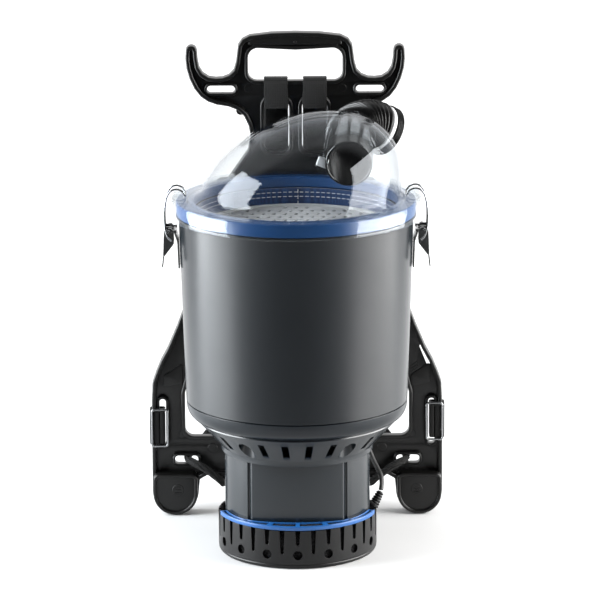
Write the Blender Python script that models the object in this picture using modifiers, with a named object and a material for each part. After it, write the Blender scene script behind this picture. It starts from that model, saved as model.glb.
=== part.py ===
"""Backpack vacuum cleaner, upright on its base, in metres.

The canister's axis is the Z axis, and the floor is z = 0. The front looks along -Y,
and the wearer's back is at +Y. Left and right are those of a viewer in front.
"""

import math

import bmesh
import bpy
from mathutils import Matrix, Vector

MM = 0.001
GAP = 0.3
ROUND = 32  # facets round the large turned pieces
INNER_ROUND = 16  # facets round the pieces inside the housing

# Driving dimensions, millimetres until they are multiplied by MM in the helpers.
CAGE_R = 80.0
CAGE_TOP = 40.0
CAGE_PITCH = 11.25
HOUSING_R = 73.0
HOUSING_FRONT = 64.5
HOUSING_RIB_X = 48.5
HOUSING_BOTTOM = 12.0
HOUSING_TOP = 111.0
VENT_PITCH = 15.0
POCKET_ANGLES = (-36.0, 36.0, 144.0, 216.0)
POCKET_R = 8.0
POCKET_AT = 85.0
SEAM_Z = 156.6
CANISTER_FOOT_R = 111.0
CANISTER_TOP_R = 116.85
CANISTER_TOP = 346.6
RING_TOP = 360.4
RING_R = 119.0
LID_Z = 364.0
LID_R = 125.6
LID_WALL = 2.6
DOME_R = 99.5
DOME_HEIGHT = 85.0
DOME_LEAN = (4.0, 30.0, -6.0)
INLET_FROM = Vector((52.5, -14.0, 398.4))
INLET_AXIS = Vector((2.5, 84.0, 11.9)).normalized()
INLET_END = 84.0  # how far along its axis the lid's inlet reaches
INLET_R = 24.1
HOSE_R = 25.6
HOSE_RIBS = 15
HOSE_END = Vector((83.0, 104.0, 412.0))
HOSE_END_AXIS = Vector((0.72, 0.50, -0.48)).normalized()
HOSE_HANDLE = 19.0  # length of the hose bend's Bezier handles
PLATE_FRONT = 119.0
PLATE_BACK = 133.5
PANEL_FRONT = 127.0
PANEL_BACK = 130.5
FOOT_FRONT = 109.0
LATCH_PIVOT = (125.4, 331.0)
LATCH_BAIL = (124.5, 320.2)
SHAFT_R = 4.0
FAN_BLADES = 8
BELT_LOOP_Z = {"L": 93.0, "R": 99.0}
BELT_LOOP_HEIGHT = 36.0

COLORS = {
    "body_plastic": ((0.065, 0.068, 0.073), 0.38, 0.0),
    "housing_plastic": ((0.17, 0.2, 0.23), 0.42, 0.0),
    "cage_plastic": ((0.14, 0.14, 0.145), 0.45, 0.0),
    "blue_plastic": ((0.03, 0.22, 0.62), 0.35, 0.0),
    "plate_plastic": ((0.018, 0.018, 0.02), 0.4, 0.0),
    "clear_plastic": ((0.9, 0.92, 0.93), 0.05, 0.0),
    "bag_cloth": ((0.03, 0.09, 0.24), 0.9, 0.0),
    "grey_plastic": ((0.45, 0.46, 0.47), 0.4, 0.0),
    "hose_plastic": ((0.02, 0.02, 0.021), 0.35, 0.0),
    "steel": ((0.6, 0.6, 0.6), 0.25, 1.0),
    "webbing": ((0.02, 0.02, 0.02), 0.85, 0.0),
    "foam": ((0.012, 0.012, 0.012), 0.95, 0.0),
    "rubber": ((0.03, 0.03, 0.03), 0.7, 0.0),
    "copper": ((0.7, 0.33, 0.16), 0.35, 1.0),
}


# ---------------------------------------------------------------- scene and materials


def clear_scene():
    for obj in list(bpy.data.objects):
        bpy.data.objects.remove(obj, do_unlink=True)


def make_collection(name):
    found = bpy.data.collections.new(name)
    bpy.context.scene.collection.children.link(found)
    return found


def material(slot):
    found = bpy.data.materials.get(slot)
    if found:
        return found
    color, roughness, metallic = COLORS[slot]
    found = bpy.data.materials.new(slot)
    found.use_nodes = True
    shader = found.node_tree.nodes["Principled BSDF"]
    shader.inputs["Base Color"].default_value = (*color, 1.0)
    shader.inputs["Roughness"].default_value = roughness
    shader.inputs["Metallic"].default_value = metallic
    if slot == "clear_plastic":
        shader.inputs["Alpha"].default_value = 0.3
    return found


clear_scene()
PARTS = make_collection("backpack_vacuum")
CUTTERS = make_collection("cutters")


# ---------------------------------------------------------------- mesh helpers


def link(name, mesh, collection):
    obj = bpy.data.objects.new(name, mesh)
    collection.objects.link(obj)
    return obj


def settle(mesh):
    """Welds a mesh and turns its faces out."""
    bm = bmesh.new()
    bm.from_mesh(mesh)
    bmesh.ops.remove_doubles(bm, verts=bm.verts, dist=1e-7)
    bmesh.ops.recalc_face_normals(bm, faces=bm.faces)
    if bm.calc_volume(signed=True) < 0:
        bmesh.ops.reverse_faces(bm, faces=bm.faces)
    bm.to_mesh(mesh)
    bm.free()
    return mesh


def baked(obj):
    """The object's evaluated shape as a plain mesh; the object itself is removed."""
    bpy.context.view_layer.update()
    graph = bpy.context.evaluated_depsgraph_get()
    mesh = bpy.data.meshes.new_from_object(obj.evaluated_get(graph))
    mesh.transform(obj.matrix_world)
    bpy.data.objects.remove(obj, do_unlink=True)
    return settle(mesh)


def part(name, mesh, slot, origin=(0.0, 0.0, 0.0)):
    """A named piece, with its origin at the given point in millimetres."""
    place = Vector(origin) * MM
    mesh.transform(Matrix.Translation(-place))
    mesh.name = name
    mesh.materials.clear()
    mesh.materials.append(material(slot))
    mesh.shade_smooth()
    mesh.set_sharp_from_angle(angle=math.radians(32))
    obj = link(name, mesh, PARTS)
    obj.location = place
    return obj


def turned(profile, steps=48):
    """A profile of (radius, z) points, closed or from axis to axis, turned about Z."""
    mesh = bpy.data.meshes.new("profile")
    count = len(profile)
    to_axis = profile[0][0] == 0.0 and profile[-1][0] == 0.0
    edges = [(i, i + 1) for i in range(count - 1)]
    if not to_axis:
        edges.append((count - 1, 0))
    mesh.from_pydata([(r * MM, 0.0, z * MM) for r, z in profile], edges, [])
    obj = link("turned", mesh, CUTTERS)
    screw = obj.modifiers.new("turn", "SCREW")
    screw.axis = "Z"
    screw.steps = steps
    screw.render_steps = steps
    screw.use_merge_vertices = True
    screw.merge_threshold = 1e-5
    return baked(obj)


def plate(outlines, depth, resolution=12):
    """Closed outlines of (x, y) points, the outer one first, made a plate of this depth."""
    curve = bpy.data.curves.new("outline", "CURVE")
    curve.dimensions = "2D"
    curve.fill_mode = "BOTH"
    curve.extrude = depth * MM / 2
    curve.resolution_u = resolution
    for outline in outlines:
        spline = curve.splines.new("POLY")
        spline.points.add(len(outline) - 1)
        for point, (x, y) in zip(spline.points, outline):
            point.co = (x * MM, y * MM, 0.0, 1.0)
        spline.use_cyclic_u = True
    obj = bpy.data.objects.new("outline", curve)
    CUTTERS.objects.link(obj)
    return baked(obj)


def moved(mesh, *matrices):
    """The mesh with each matrix applied in turn."""
    for matrix in matrices:
        mesh.transform(matrix)
    return mesh


def shift(x, y, z):
    return Matrix.Translation(Vector((x, y, z)) * MM)


def turn(degrees, axis):
    return Matrix.Rotation(math.radians(degrees), 4, axis)


STAND_UP = turn(90.0, "X")  # a plate drawn in (x, y) is stood up in (x, z), facing -Y


def box(size, center):
    bm = bmesh.new()
    bmesh.ops.create_cube(bm, size=1.0)
    bmesh.ops.scale(bm, vec=Vector(size) * MM, verts=bm.verts)
    bmesh.ops.translate(bm, vec=Vector(center) * MM, verts=bm.verts)
    mesh = bpy.data.meshes.new("box")
    bm.to_mesh(mesh)
    bm.free()
    return mesh


def soft_box(size, center, radius, segments=2):
    """A box with all its edges rounded."""
    bm = bmesh.new()
    bm.from_mesh(box(size, center))
    bmesh.ops.bevel(
        bm, geom=bm.edges[:], offset=radius * MM, segments=segments, profile=0.5, affect="EDGES"
    )
    mesh = bpy.data.meshes.new("soft_box")
    bm.to_mesh(mesh)
    bm.free()
    return settle(mesh)


def rod(radius, start, end, sides=16, end_radius=None):
    """A cylinder or cone between two points."""
    start = Vector(start)
    run = Vector(end) - start
    bm = bmesh.new()
    bmesh.ops.create_cone(
        bm,
        cap_ends=True,
        segments=sides,
        radius1=radius * MM,
        radius2=(radius if end_radius is None else end_radius) * MM,
        depth=run.length * MM,
    )
    mesh = bpy.data.meshes.new("rod")
    bm.to_mesh(mesh)
    bm.free()
    aim = run.to_track_quat("Z", "Y").to_matrix().to_4x4()
    middle = start + run / 2
    return moved(mesh, aim, shift(*middle))


def tube(points, radius, resolution=2, cyclic=False):
    """A round wire or cord along the points."""
    curve = bpy.data.curves.new("wire", "CURVE")
    curve.dimensions = "3D"
    curve.bevel_depth = radius * MM
    curve.bevel_resolution = resolution
    curve.use_fill_caps = True
    spline = curve.splines.new("POLY")
    spline.points.add(len(points) - 1)
    for point, place in zip(spline.points, points):
        point.co = (*(Vector(place) * MM), 1.0)
    spline.use_cyclic_u = cyclic
    obj = bpy.data.objects.new("wire", curve)
    CUTTERS.objects.link(obj)
    return baked(obj)


def merged(meshes):
    """Meshes put side by side in one, for use as one cutter."""
    bm = bmesh.new()
    for mesh in meshes:
        bm.from_mesh(mesh)
    whole = bpy.data.meshes.new("merged")
    bm.to_mesh(whole)
    bm.free()
    return whole


def combine(mesh, other, operation, solver="EXACT"):
    base = link("base", mesh, CUTTERS)
    tool = link("tool", other, CUTTERS)
    step = base.modifiers.new("combine", "BOOLEAN")
    step.operation = operation
    step.solver = solver
    step.object = tool
    result = baked(base)
    bpy.data.objects.remove(tool, do_unlink=True)
    return result


def cut(mesh, *cutters):
    return combine(mesh, merged(cutters), "DIFFERENCE")


def join(mesh, *others):
    for other in others:
        mesh = combine(mesh, other, "UNION")
    return mesh


# ---------------------------------------------------------------- outline helpers


def arc(center, radius, start, end, count):
    """Points on an arc, in degrees, both ends included."""
    points = []
    for i in range(count + 1):
        angle = math.radians(start + (end - start) * i / count)
        points.append(
            (center[0] + radius * math.cos(angle), center[1] + radius * math.sin(angle))
        )
    return points


def filleted(corners, steps=2):
    """A closed outline from (x, y, radius) corners, each rounded by its own radius."""
    points = []
    count = len(corners)
    for i, (x, y, radius) in enumerate(corners):
        here = Vector((x, y))
        if radius == 0:
            points.append((x, y))
            continue
        before = (Vector(corners[i - 1][:2]) - here).normalized()
        after = (Vector(corners[(i + 1) % count][:2]) - here).normalized()
        half = before.angle(after) / 2
        reach = radius / math.tan(half)
        center = here + (before + after).normalized() * (radius / math.sin(half))
        first = here + before * reach - center
        last = here + after * reach - center
        sweep = first.angle_signed(last)
        base = math.atan2(first.y, first.x)
        for k in range(steps + 1):
            angle = base - sweep * k / steps
            points.append(
                (center.x + radius * math.cos(angle), center.y + radius * math.sin(angle))
            )
    return points


def rectangle(x0, y0, x1, y1, radius, steps=2):
    corners = ((x0, y0, radius), (x1, y0, radius), (x1, y1, radius), (x0, y1, radius))
    return filleted(corners, steps)


def inset(outline, distance):
    """A closed outline drawn in by this distance; negative draws it out."""
    area = sum(
        a[0] * b[1] - b[0] * a[1] for a, b in zip(outline, outline[1:] + outline[:1])
    )
    side = 1.0 if area > 0 else -1.0
    points = []
    for i, here in enumerate(outline):
        before = Vector(here) - Vector(outline[i - 1])
        after = Vector(outline[(i + 1) % len(outline)]) - Vector(here)
        before.normalize()
        after.normalize()
        normal = Vector((-(before.y + after.y), before.x + after.x))
        normal.normalize()
        spread = max(0.5, normal.dot(Vector((-after.y, after.x))))
        points.append(tuple(Vector(here) + normal * side * distance / spread))
    return points


def mirrored(half):
    """A closed outline from its right half, which runs from the axis round to the axis."""
    left = [(-x, y) for x, y in reversed(half) if x > 1e-6]
    return list(half) + left


def swapped(points):
    return [(-x, y) for x, y in reversed(points)]


# ---------------------------------------------------------------- exhaust base


def exhaust_cage():
    wall = 2.8
    shape = turned(
        [
            (0, 3),
            (CAGE_R - wall - 2.5, 3),
            (CAGE_R - wall, 5.5),
            (CAGE_R - wall, CAGE_TOP),
            (CAGE_R, CAGE_TOP),
            (CAGE_R, 5.2),
            (CAGE_R - 0.7, 4.3),
            (CAGE_R - 0.4, 3.2),
            (CAGE_R - 1.6, 0.8),
            (CAGE_R - 3.2, 0),
            (0, 0),
        ],
        steps=ROUND,
    )
    long_slot = [(2.7, CAGE_TOP + 2), *arc((0, 17.1), 1.6, 0, -180, 2), (-2.7, CAGE_TOP + 2)]
    short_slot = [(2.7, CAGE_TOP + 2), *arc((0, 26.2), 1.8, 0, -180, 2), (-2.7, CAGE_TOP + 2)]
    cutters = []
    for i in range(32):
        spin = turn(i * CAGE_PITCH, "Z")
        slot = short_slot if i % 2 == 0 else long_slot
        cutters.append(moved(plate([slot], 12), STAND_UP, shift(0, -CAGE_R, 0), spin))
        if i % 2 == 0:
            hole = rod(4.75, (0, -CAGE_R - 6, 14.5), (0, -CAGE_R + 6, 14.5), sides=8)
            cutters.append(moved(hole, spin))
    part("exhaust_cage", cut(shape, *cutters), "cage_plastic")


def housing_outline(offset, ribs=False):
    """The motor housing seen from above: round, with a flatter panel at the front."""
    radius = HOUSING_R + offset
    edge = HOUSING_RIB_X
    edge_y = math.sqrt(HOUSING_R**2 - edge**2)
    rise = HOUSING_FRONT - edge_y
    bow = (edge**2 + rise**2) / (2 * rise)
    spread = math.degrees(math.asin(edge / bow))
    side = math.degrees(math.atan2(-edge_y, edge))
    half = arc((0, bow - HOUSING_FRONT), bow + offset, -90, -90 + spread * 0.93, 6)
    if ribs:
        half += [(46.2, -edge_y - 0.3), (47.6, -edge_y + 2.4), (49.2, -edge_y + 1.6)]
        half += [(50.2, -edge_y + 1.9), (51.4, -edge_y + 3.2)]
    half += arc((0, 0), radius, side + 5.0, 90, 16)
    return mirrored(half)


def motor_housing():
    wall = 2.6
    height = HOUSING_TOP - HOUSING_BOTTOM
    middle = (HOUSING_TOP + HOUSING_BOTTOM) / 2
    shell = plate([housing_outline(0, ribs=True), housing_outline(-wall)], height)
    shell = moved(shell, shift(0, 0, middle))
    windows = [box((22, 30, 18), (x, -HOUSING_FRONT, 26)) for x in (-28, 0, 28)]
    part("motor_housing", cut(shell, *windows), "housing_plastic")


def polar_outline(inner, outer_radius, start, end, count):
    """An outline between the housing's outline and a circle, over these angles."""
    outer = arc((0, 0), outer_radius, start, end, count)
    kept = []
    for x, y in inner:
        angle = math.degrees(math.atan2(y, x)) % 360
        if start + 0.5 <= angle <= end - 0.5:
            kept.append((angle, (x, y)))
    kept.sort(reverse=True)
    last = edge_point(inner, end)
    first = edge_point(inner, start)
    return outer + [last] + [point for _, point in kept] + [first]


def edge_point(outline, degrees):
    """Where a ray at this angle meets the outline."""
    ray = Vector((math.cos(math.radians(degrees)), math.sin(math.radians(degrees))))
    best = None
    for a, b in zip(outline, outline[1:] + outline[:1]):
        a = Vector(a)
        along = Vector(b) - a
        cross = ray.x * along.y - ray.y * along.x
        if abs(cross) < 1e-9:
            continue
        distance = (a.x * along.y - a.y * along.x) / cross
        t = (a.x * ray.y - a.y * ray.x) / cross
        if distance > 0 and -1e-6 <= t <= 1 + 1e-6:
            best = ray * distance
    return tuple(best)


def exhaust_filter_frame():
    inner = housing_outline(0.6)
    border = 1.7
    start, end = 270 - 74, 270 + 74
    loops = [polar_outline(inner, CAGE_R + 0.6, start, end, 26)]
    bars = (start, 270 - 45, 270 - 22, 270, 270 + 22, 270 + 45, end)
    cell_inner = housing_outline(0.6 + border)
    for a, b in zip(bars, bars[1:]):
        loops.append(polar_outline(cell_inner, CAGE_R + 0.6 - border * 1.5, a + 1.6, b - 1.6, 4))
    frame = moved(plate(loops, 4.2), shift(0, 0, CAGE_TOP + GAP + 2.1))
    part("exhaust_filter_frame", frame, "blue_plastic")


def exhaust_foam():
    inner = housing_outline(0.6)
    loop = polar_outline(inner, CAGE_R - 3.3, 270 - 73, 270 + 73, 20)
    part("exhaust_foam", moved(plate([loop], 34), shift(0, 0, 22.5)), "foam")


# ---------------------------------------------------------------- body


def vent_shroud():
    top, wall = 138.6, 2.4
    inner_foot = HOUSING_R + 0.9
    shell = turned(
        [
            (inner_foot, 104.8),
            (inner_foot, 111.6),
            (97.6, top - wall),
            (94.0, top - wall),
            (94.0, top),
            (100.2, top),
            (100.6, top - 1.6),
            (inner_foot + 2.6, 110.4),
            (inner_foot + 2.6, 104.8),
        ],
        steps=ROUND,
    )
    envelope_profile = [
        (0, top - 0.4),
        (100.0, top - 0.4),
        (100.4, top - 1.7),
        (inner_foot + 2.4, 110.4),
        (inner_foot + 2.4, 106.0),
        (0, 106.0),
    ]
    posts = []
    wells = []
    for angle in POCKET_ANGLES:
        spin = turn(angle, "Z")
        post = rod(POCKET_R + 1.8, (0, -POCKET_AT, 100), (0, -POCKET_AT, top + 4), sides=12)
        post = combine(moved(post, spin), turned(envelope_profile, ROUND), "INTERSECT")
        hollow = rod(HOUSING_R + 0.9, (0, 0, 100), (0, 0, 120), sides=ROUND)
        posts.append(cut(post, hollow))
        well = rod(POCKET_R, (0, -POCKET_AT, 96), (0, -POCKET_AT, 133.5), sides=12)
        wells.append(moved(well, spin))
    shell = join(shell, *posts)
    slots = []
    slope = math.degrees(math.atan2(top - 1.6 - 110.4, 100.6 - inner_foot - 2.6))
    for i in range(24):
        angle = (i + 0.5) * VENT_PITCH
        if min(abs((angle - p + 180) % 360 - 180) for p in POCKET_ANGLES) < 10:
            continue
        slot = box((6.5, 20, 16), (0, 0, 0))
        slots.append(moved(slot, turn(-slope, "X"), shift(0, -87.4, 124), turn(angle, "Z")))
    part("vent_shroud", cut(shell, *wells, *slots), "housing_plastic")


def lower_bowl():
    foot = CANISTER_FOOT_R
    shape = turned(
        [
            (foot, SEAM_Z - 0.3),
            (foot - 0.6, 149.6),
            (foot - 4.2, 143.0),
            (101.2, 139.0),
            (95.0, 139.0),
            (95.0, 141.8),
            (105.4, 145.6),
            (107.0, 150.0),
            (30.0, 150.0),
            (30.0, 152.6),
            (105.8, 152.6),
            (105.8, 162.0),
            (108.2, 162.0),
            (108.2, SEAM_Z - 0.3),
        ],
        steps=ROUND,
    )
    part("lower_bowl", shape, "body_plastic")


def canister_shell():
    shape = turned(
        [
            (CANISTER_FOOT_R + 0.1, SEAM_Z + 0.4),
            (CANISTER_FOOT_R - 2.2, SEAM_Z + 0.4),
            (CANISTER_TOP_R - 2.4, 343.0),
            (CANISTER_TOP_R - 2.4, CANISTER_TOP),
            (RING_R + 0.5, CANISTER_TOP),
            (RING_R + 0.5, CANISTER_TOP - 2.0),
            (CANISTER_TOP_R, CANISTER_TOP - 3.2),
        ],
        steps=ROUND,
    )
    part("canister_shell", shape, "body_plastic")


def canister_radius(z):
    share = (z - SEAM_Z) / (CANISTER_TOP - 3.2 - SEAM_Z)
    return CANISTER_FOOT_R + (CANISTER_TOP_R - CANISTER_FOOT_R) * share


# ---------------------------------------------------------------- filter stack


def bag_ring():
    shape = turned(
        [
            (RING_R - 0.8, RING_TOP),
            (RING_R, RING_TOP - 0.8),
            (RING_R, CANISTER_TOP + 0.4),
            (112.5, CANISTER_TOP + 0.4),
            (112.5, 350.6),
            (102.0, 350.6),
            (102.0, RING_TOP),
        ],
        steps=ROUND,
    )
    part("bag_ring", shape, "blue_plastic")


def filter_bag():
    shape = turned(
        [
            (0, 187),
            (94, 187),
            (98.4, 200),
            (99.2, 350.2),
            (101.2, 350.2),
            (100.4, 199),
            (96, 185),
            (0, 185),
        ],
        steps=32,
    )
    part("filter_bag", shape, "bag_cloth")


def perforated_disc():
    radius, floor, thickness = 97.0, 330.0, 2.2
    disc = turned(
        [(0, floor + thickness), (radius, floor + thickness), (radius, floor), (0, floor)], 40
    )
    holes = []
    for ring in range(1, 3):
        for k in range(6 * ring):
            angle = 60.0 * k / ring
            hole = rod(4, (ring * 36, 0, floor - 3), (ring * 36, 0, floor + 6), sides=6)
            holes.append(moved(hole, turn(angle, "Z")))
    part("perforated_disc", cut(disc, *holes), "grey_plastic")


def pre_motor_filter():
    shape = turned([(0, 166), (58, 166), (60, 164), (60, 153), (0, 153)], 32)
    part("pre_motor_filter", shape, "foam")


# ---------------------------------------------------------------- lid and hose


def dome_curve(radius, height, count):
    """The dome's quarter ellipse, from its top to its foot."""
    points = []
    for i in range(count + 1):
        angle = math.radians(86.0 * i / count)
        points.append((radius * math.sin(angle), LID_Z + height * math.cos(angle)))
    return points


def lean_dome(mesh):
    """Leans the dome to the right and back, more towards its top."""
    for vertex in mesh.vertices:
        share = (vertex.co.z / MM - LID_Z) / DOME_HEIGHT
        if share > 0.001:
            vertex.co.x += (DOME_LEAN[0] + DOME_LEAN[1] * share**1.25) * MM
            vertex.co.y += DOME_LEAN[2] * share * MM
    return mesh


def inlet_point(distance):
    return tuple(INLET_FROM + INLET_AXIS * distance)


def lid():
    outer = dome_curve(DOME_R, DOME_HEIGHT, 6)
    inner = dome_curve(DOME_R - LID_WALL, DOME_HEIGHT - LID_WALL, 6)
    outer[0] = (0.0, outer[0][1])
    inner[0] = (0.0, inner[0][1])
    rim = [
        (105.5, LID_Z),
        (LID_R - 1.4, LID_Z),
        (LID_R, LID_Z - 1.4),
        (LID_R, 345.0),
        (LID_R - 2.6, 345.0),
        (LID_R - 2.6, LID_Z - 2.8),
        (103.0, LID_Z - 2.8),
    ]
    shell = lean_dome(turned(outer + rim + inner[::-1], ROUND))
    ears = []
    for side in (-1, 1):
        for y in (-12.9, 12.9):
            ears.append(box((12, 2.6, 5.6), (side * 117.5, y, LID_Z + 2.3)))
    spout = rod(INLET_R + 2.4, inlet_point(22), inlet_point(INLET_END), sides=24)
    bore = rod(INLET_R, inlet_point(-4), inlet_point(INLET_END + 3), sides=24)
    seat = rod(HOSE_R + 1.0, inlet_point(INLET_END - 0.6), inlet_point(INLET_END + 40), sides=24)
    shell = cut(cut(join(shell, spout, *ears), bore), seat)
    part("lid", shell, "clear_plastic")


def ring_tube(outer, inner, start, end, sides=24):
    """A straight pipe between two points."""
    start, end = Vector(start), Vector(end)
    middle = (end - start).normalized()
    bore = rod(inner, start - middle, end + middle, sides=sides)
    return cut(rod(outer, start, end, sides=sides), bore)


def hose_cuff():
    pipe = ring_tube(INLET_R - 0.6, INLET_R - 3.2, inlet_point(0), inlet_point(INLET_END - 0.2))
    part("hose_cuff", pipe, "hose_plastic", origin=inlet_point(0))


def smooth_route(points, count):
    """Places along a smooth curve through the points."""
    places = []
    last = len(points) - 1
    for i in range(count + 1):
        t = last * i / count
        k = min(int(t), last - 1)
        u = t - k
        p0, p1 = Vector(points[max(k - 1, 0)]), Vector(points[k])
        p2, p3 = Vector(points[k + 1]), Vector(points[min(k + 2, last)])
        places.append(
            0.5
            * (
                2 * p1
                + (p2 - p0) * u
                + (2 * p0 - 5 * p1 + 4 * p2 - p3) * u**2
                + (3 * p1 - p0 - 3 * p2 + p3) * u**3
            )
        )
    return places


def loft_pipe(frames, outer_radii, inner_radius, sides=24):
    """A pipe whose outside follows the radii along the frames, with an even bore."""
    bm = bmesh.new()
    rings = []
    stations = [(f, r) for f, r in zip(frames, outer_radii)]
    stations += [(f, inner_radius) for f in reversed(frames)]
    for (center, direction), radius in stations:
        across = direction.cross(Vector((0, 0, 1))).normalized()
        up = across.cross(direction)
        ring = []
        for k in range(sides):
            angle = 2 * math.pi * k / sides
            place = center + (across * math.cos(angle) + up * math.sin(angle)) * radius
            ring.append(bm.verts.new(place * MM))
        rings.append(ring)
    for a, b in zip(rings, rings[1:] + rings[:1]):
        for k in range(sides):
            n = (k + 1) % sides
            bm.faces.new((a[k], a[n], b[n], b[k]))
    mesh = bpy.data.meshes.new("pipe")
    bm.to_mesh(mesh)
    bm.free()
    return settle(mesh)


def hose_bend():
    """A point and a direction for each rib, along a Bezier bend from the lid's inlet."""
    start = Vector(inlet_point(INLET_END + 0.4))
    leaving = start + INLET_AXIS * HOSE_HANDLE
    arriving = HOSE_END - HOSE_END_AXIS * HOSE_HANDLE
    frames = []
    for i in range(HOSE_RIBS):
        t = i / (HOSE_RIBS - 1)
        u = 1 - t
        place = start * u**3 + leaving * 3 * u * u * t + arriving * 3 * u * t * t + HOSE_END * t**3
        run = (leaving - start) * u * u + (arriving - leaving) * 2 * u * t + (HOSE_END - arriving) * t * t
        frames.append((place, run.normalized()))
    return frames


def hose_pieces():
    """The ribbed hose, its grey collar and the ribbed cuff on its end, on one bent route."""
    radii = [HOSE_R if i % 2 else HOSE_R - 2.0 for i in range(HOSE_RIBS)]
    hose = loft_pipe(hose_bend(), radii, HOSE_R - 4.5, sides=16)
    part("hose", hose, "hose_plastic", origin=inlet_point(0))
    direction = HOSE_END_AXIS
    first = HOSE_END + direction * 0.4
    collar = ring_tube(HOSE_R - 1.0, HOSE_R - 4.5, first, first + direction * 5.0)
    part("hose_collar", collar, "grey_plastic", origin=inlet_point(0))
    begin = first + direction * 5.4
    steps = [(begin + direction * 1.6 * i, direction) for i in range(6)]
    radii = [HOSE_R + 0.6 if i % 2 else HOSE_R - 1.4 for i in range(6)]
    cuff = loft_pipe(steps, radii, HOSE_R - 5.0, sides=16)
    part("hose_end_cuff", cuff, "hose_plastic", origin=inlet_point(0))


# ---------------------------------------------------------------- latches


def latch_profile(points, thickness):
    """A bent strip in (x, z), offset to one side by its thickness."""
    back = []
    for i, here in enumerate(points):
        before = Vector(points[max(i - 1, 0)])
        after = Vector(points[min(i + 1, len(points) - 1)])
        run = (after - before).normalized()
        back.append(tuple(Vector(here) + Vector((run.y, -run.x)) * thickness))
    return list(points) + back[::-1]


def latch(side, suffix):
    """One draw latch, drawn on the right and turned half round for the left."""
    place = Matrix.Identity(4) if side > 0 else turn(180.0, "Z")
    px, pz = LATCH_PIVOT
    bx, bz = LATCH_BAIL

    foot = canister_radius(294) + 0.4
    strip = latch_profile([(foot, 293), (foot + 0.9, 320), (px - 5.2, 331.4)], 1.6)
    base = moved(plate([strip], 27), STAND_UP)
    for y in (-12.2, 12.2):
        knuckle = rod(3.0, (px, y - 1.3, pz), (px, y + 1.3, pz), sides=12)
        arm = box((5.4, 2.0, 2.8), (px - 4.0, y, pz - 0.5))
        base = join(base, arm, knuckle)
    base = cut(base, rod(1.6, (px, -20, pz), (px, 20, pz), sides=12))
    part("latch_base_" + suffix, moved(base, place), "steel")

    pin = rod(1.3, (px, -14.2, pz), (px, 14.2, pz), sides=12)
    part("latch_pin_" + suffix, moved(pin, place), "steel")

    outer = latch_profile([(129.9, 334.0), (130.6, 322), (131.2, 305), (132.6, 292.8)], -1.3)
    lever = moved(plate([outer], 15.6), STAND_UP)
    cheek = filleted(
        ((px - 3.2, pz + 3.2, 2.5), (130.6, pz + 3.2, 0), (131.2, 304, 0), (bx - 3.0, bz - 3.4, 2.5))
    )
    for y in (-7.0, 7.0):
        lever = join(lever, moved(plate([cheek], 1.6), STAND_UP, shift(0, y, 0)))
    holes = [
        rod(1.6, (px, -20, pz), (px, 20, pz), sides=12),
        rod(1.3, (bx, -20, bz), (bx, 20, bz), sides=12),
    ]
    pivot = place @ Vector((px, 0, pz))
    part("latch_lever_" + suffix, moved(cut(lever, *holes), place), "steel", origin=pivot)

    side_run = [
        (bx, 5.6, bz),
        (bx, 9.3, bz),
        (127.8, 9.5, 324.2),
        (130.3, 9.5, 333),
        (130.8, 345),
        (130.0, 356),
        (127.6, 366),
        (123.4, 371.2),
        (118.6, 372.6),
        (113.6, 371.0),
        (110.6, 367.6),
        (109.8, 366.0),
    ]
    run = [p if len(p) == 3 else (p[0], 9.5, p[1]) for p in side_run]
    back = [(x, -y, z) for x, y, z in reversed(run)]
    bail = tube(run + back, 0.9, resolution=1)
    hinge = place @ Vector((bx, 0, bz))
    part("latch_bail_" + suffix, moved(bail, place), "steel", origin=hinge)


# ---------------------------------------------------------------- back plate


def plate_half():
    """The right half of the back plate's outline, clockwise from the grip's top."""
    return [
        (0, 506.6),
        (46, 503.4),
        (54, 499.4),
        (58, 493.4),
        (60.2, 476),
        (62.6, 467.6),
        (67.4, 462.6),
        (74, 460.0),
        (88, 460.6),
        (94, 464.6),
        (97.8, 471),
        (99.4, 480),
        (99.8, 487.6),
        *arc((105.6, 487.4), 5.8, 150, 20, 3),
        (111.6, 480),
        (110.6, 470),
        (102.6, 449),
        (89, 435.8),
        (80, 432.6),
        (68, 430.6),
        (59.6, 427.2),
        (52.4, 420.6),
        (48, 411),
        (46, 400),
        (48.6, 385),
        (69.5, 355),
        (96, 275),
        (123.0, 201),
        (133.2, 177),
        (146.0, 150),
        (149.6, 139.5),
        (150.4, 120),
        (150.6, 60),
        *arc((126.6, 24.0), 24.0, 0, -180, 8),
        (101.4, 36),
        (94, 40.4),
        (60, 38.6),
        (0, 38),
    ]


def plate_windows():
    """Each through opening of the plate, with the width of the raised rim round it."""
    grip = filleted(
        (
            (-48, 456.6, 9),
            (48, 456.6, 9),
            (48, 491, 10),
            (20, 489.4, 0),
            (0, 488.4, 0),
            (-20, 489.4, 0),
            (-48, 491, 10),
        )
    )
    behind = filleted(
        (
            (-116, 82, 9),
            (116, 82, 9),
            (116, 128, 12),
            (97, 200, 30),
            (58, 296, 9),
            (-58, 296, 9),
            (-97, 200, 30),
            (-116, 128, 12),
        )
    )
    found = [(grip, 3.6), (behind, 4.0)]
    slant = rectangle(-1.8, -11.5, 1.8, 11.5, 1.7, 2)
    tilt = Matrix.Rotation(math.radians(22), 2)
    slant = [tuple(tilt @ Vector(p) + Vector((132.4, 167.0))) for p in slant]
    right = [
        (rectangle(61.5, 443.8, 90, 451.7, 3.8), 2.8),
        (rectangle(6.6, 382, 32, 437.5, 8), 4.0),
        (rectangle(103, 52.2, 127, 61, 3.5), 2.6),
        (rectangle(136.0, 73, 142.6, 122, 3.2), 2.8),
    ]
    for outline, rim in right:
        found.append((outline, rim))
        found.append((swapped(outline), rim))
    found.append((slant, 0))
    return found


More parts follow.
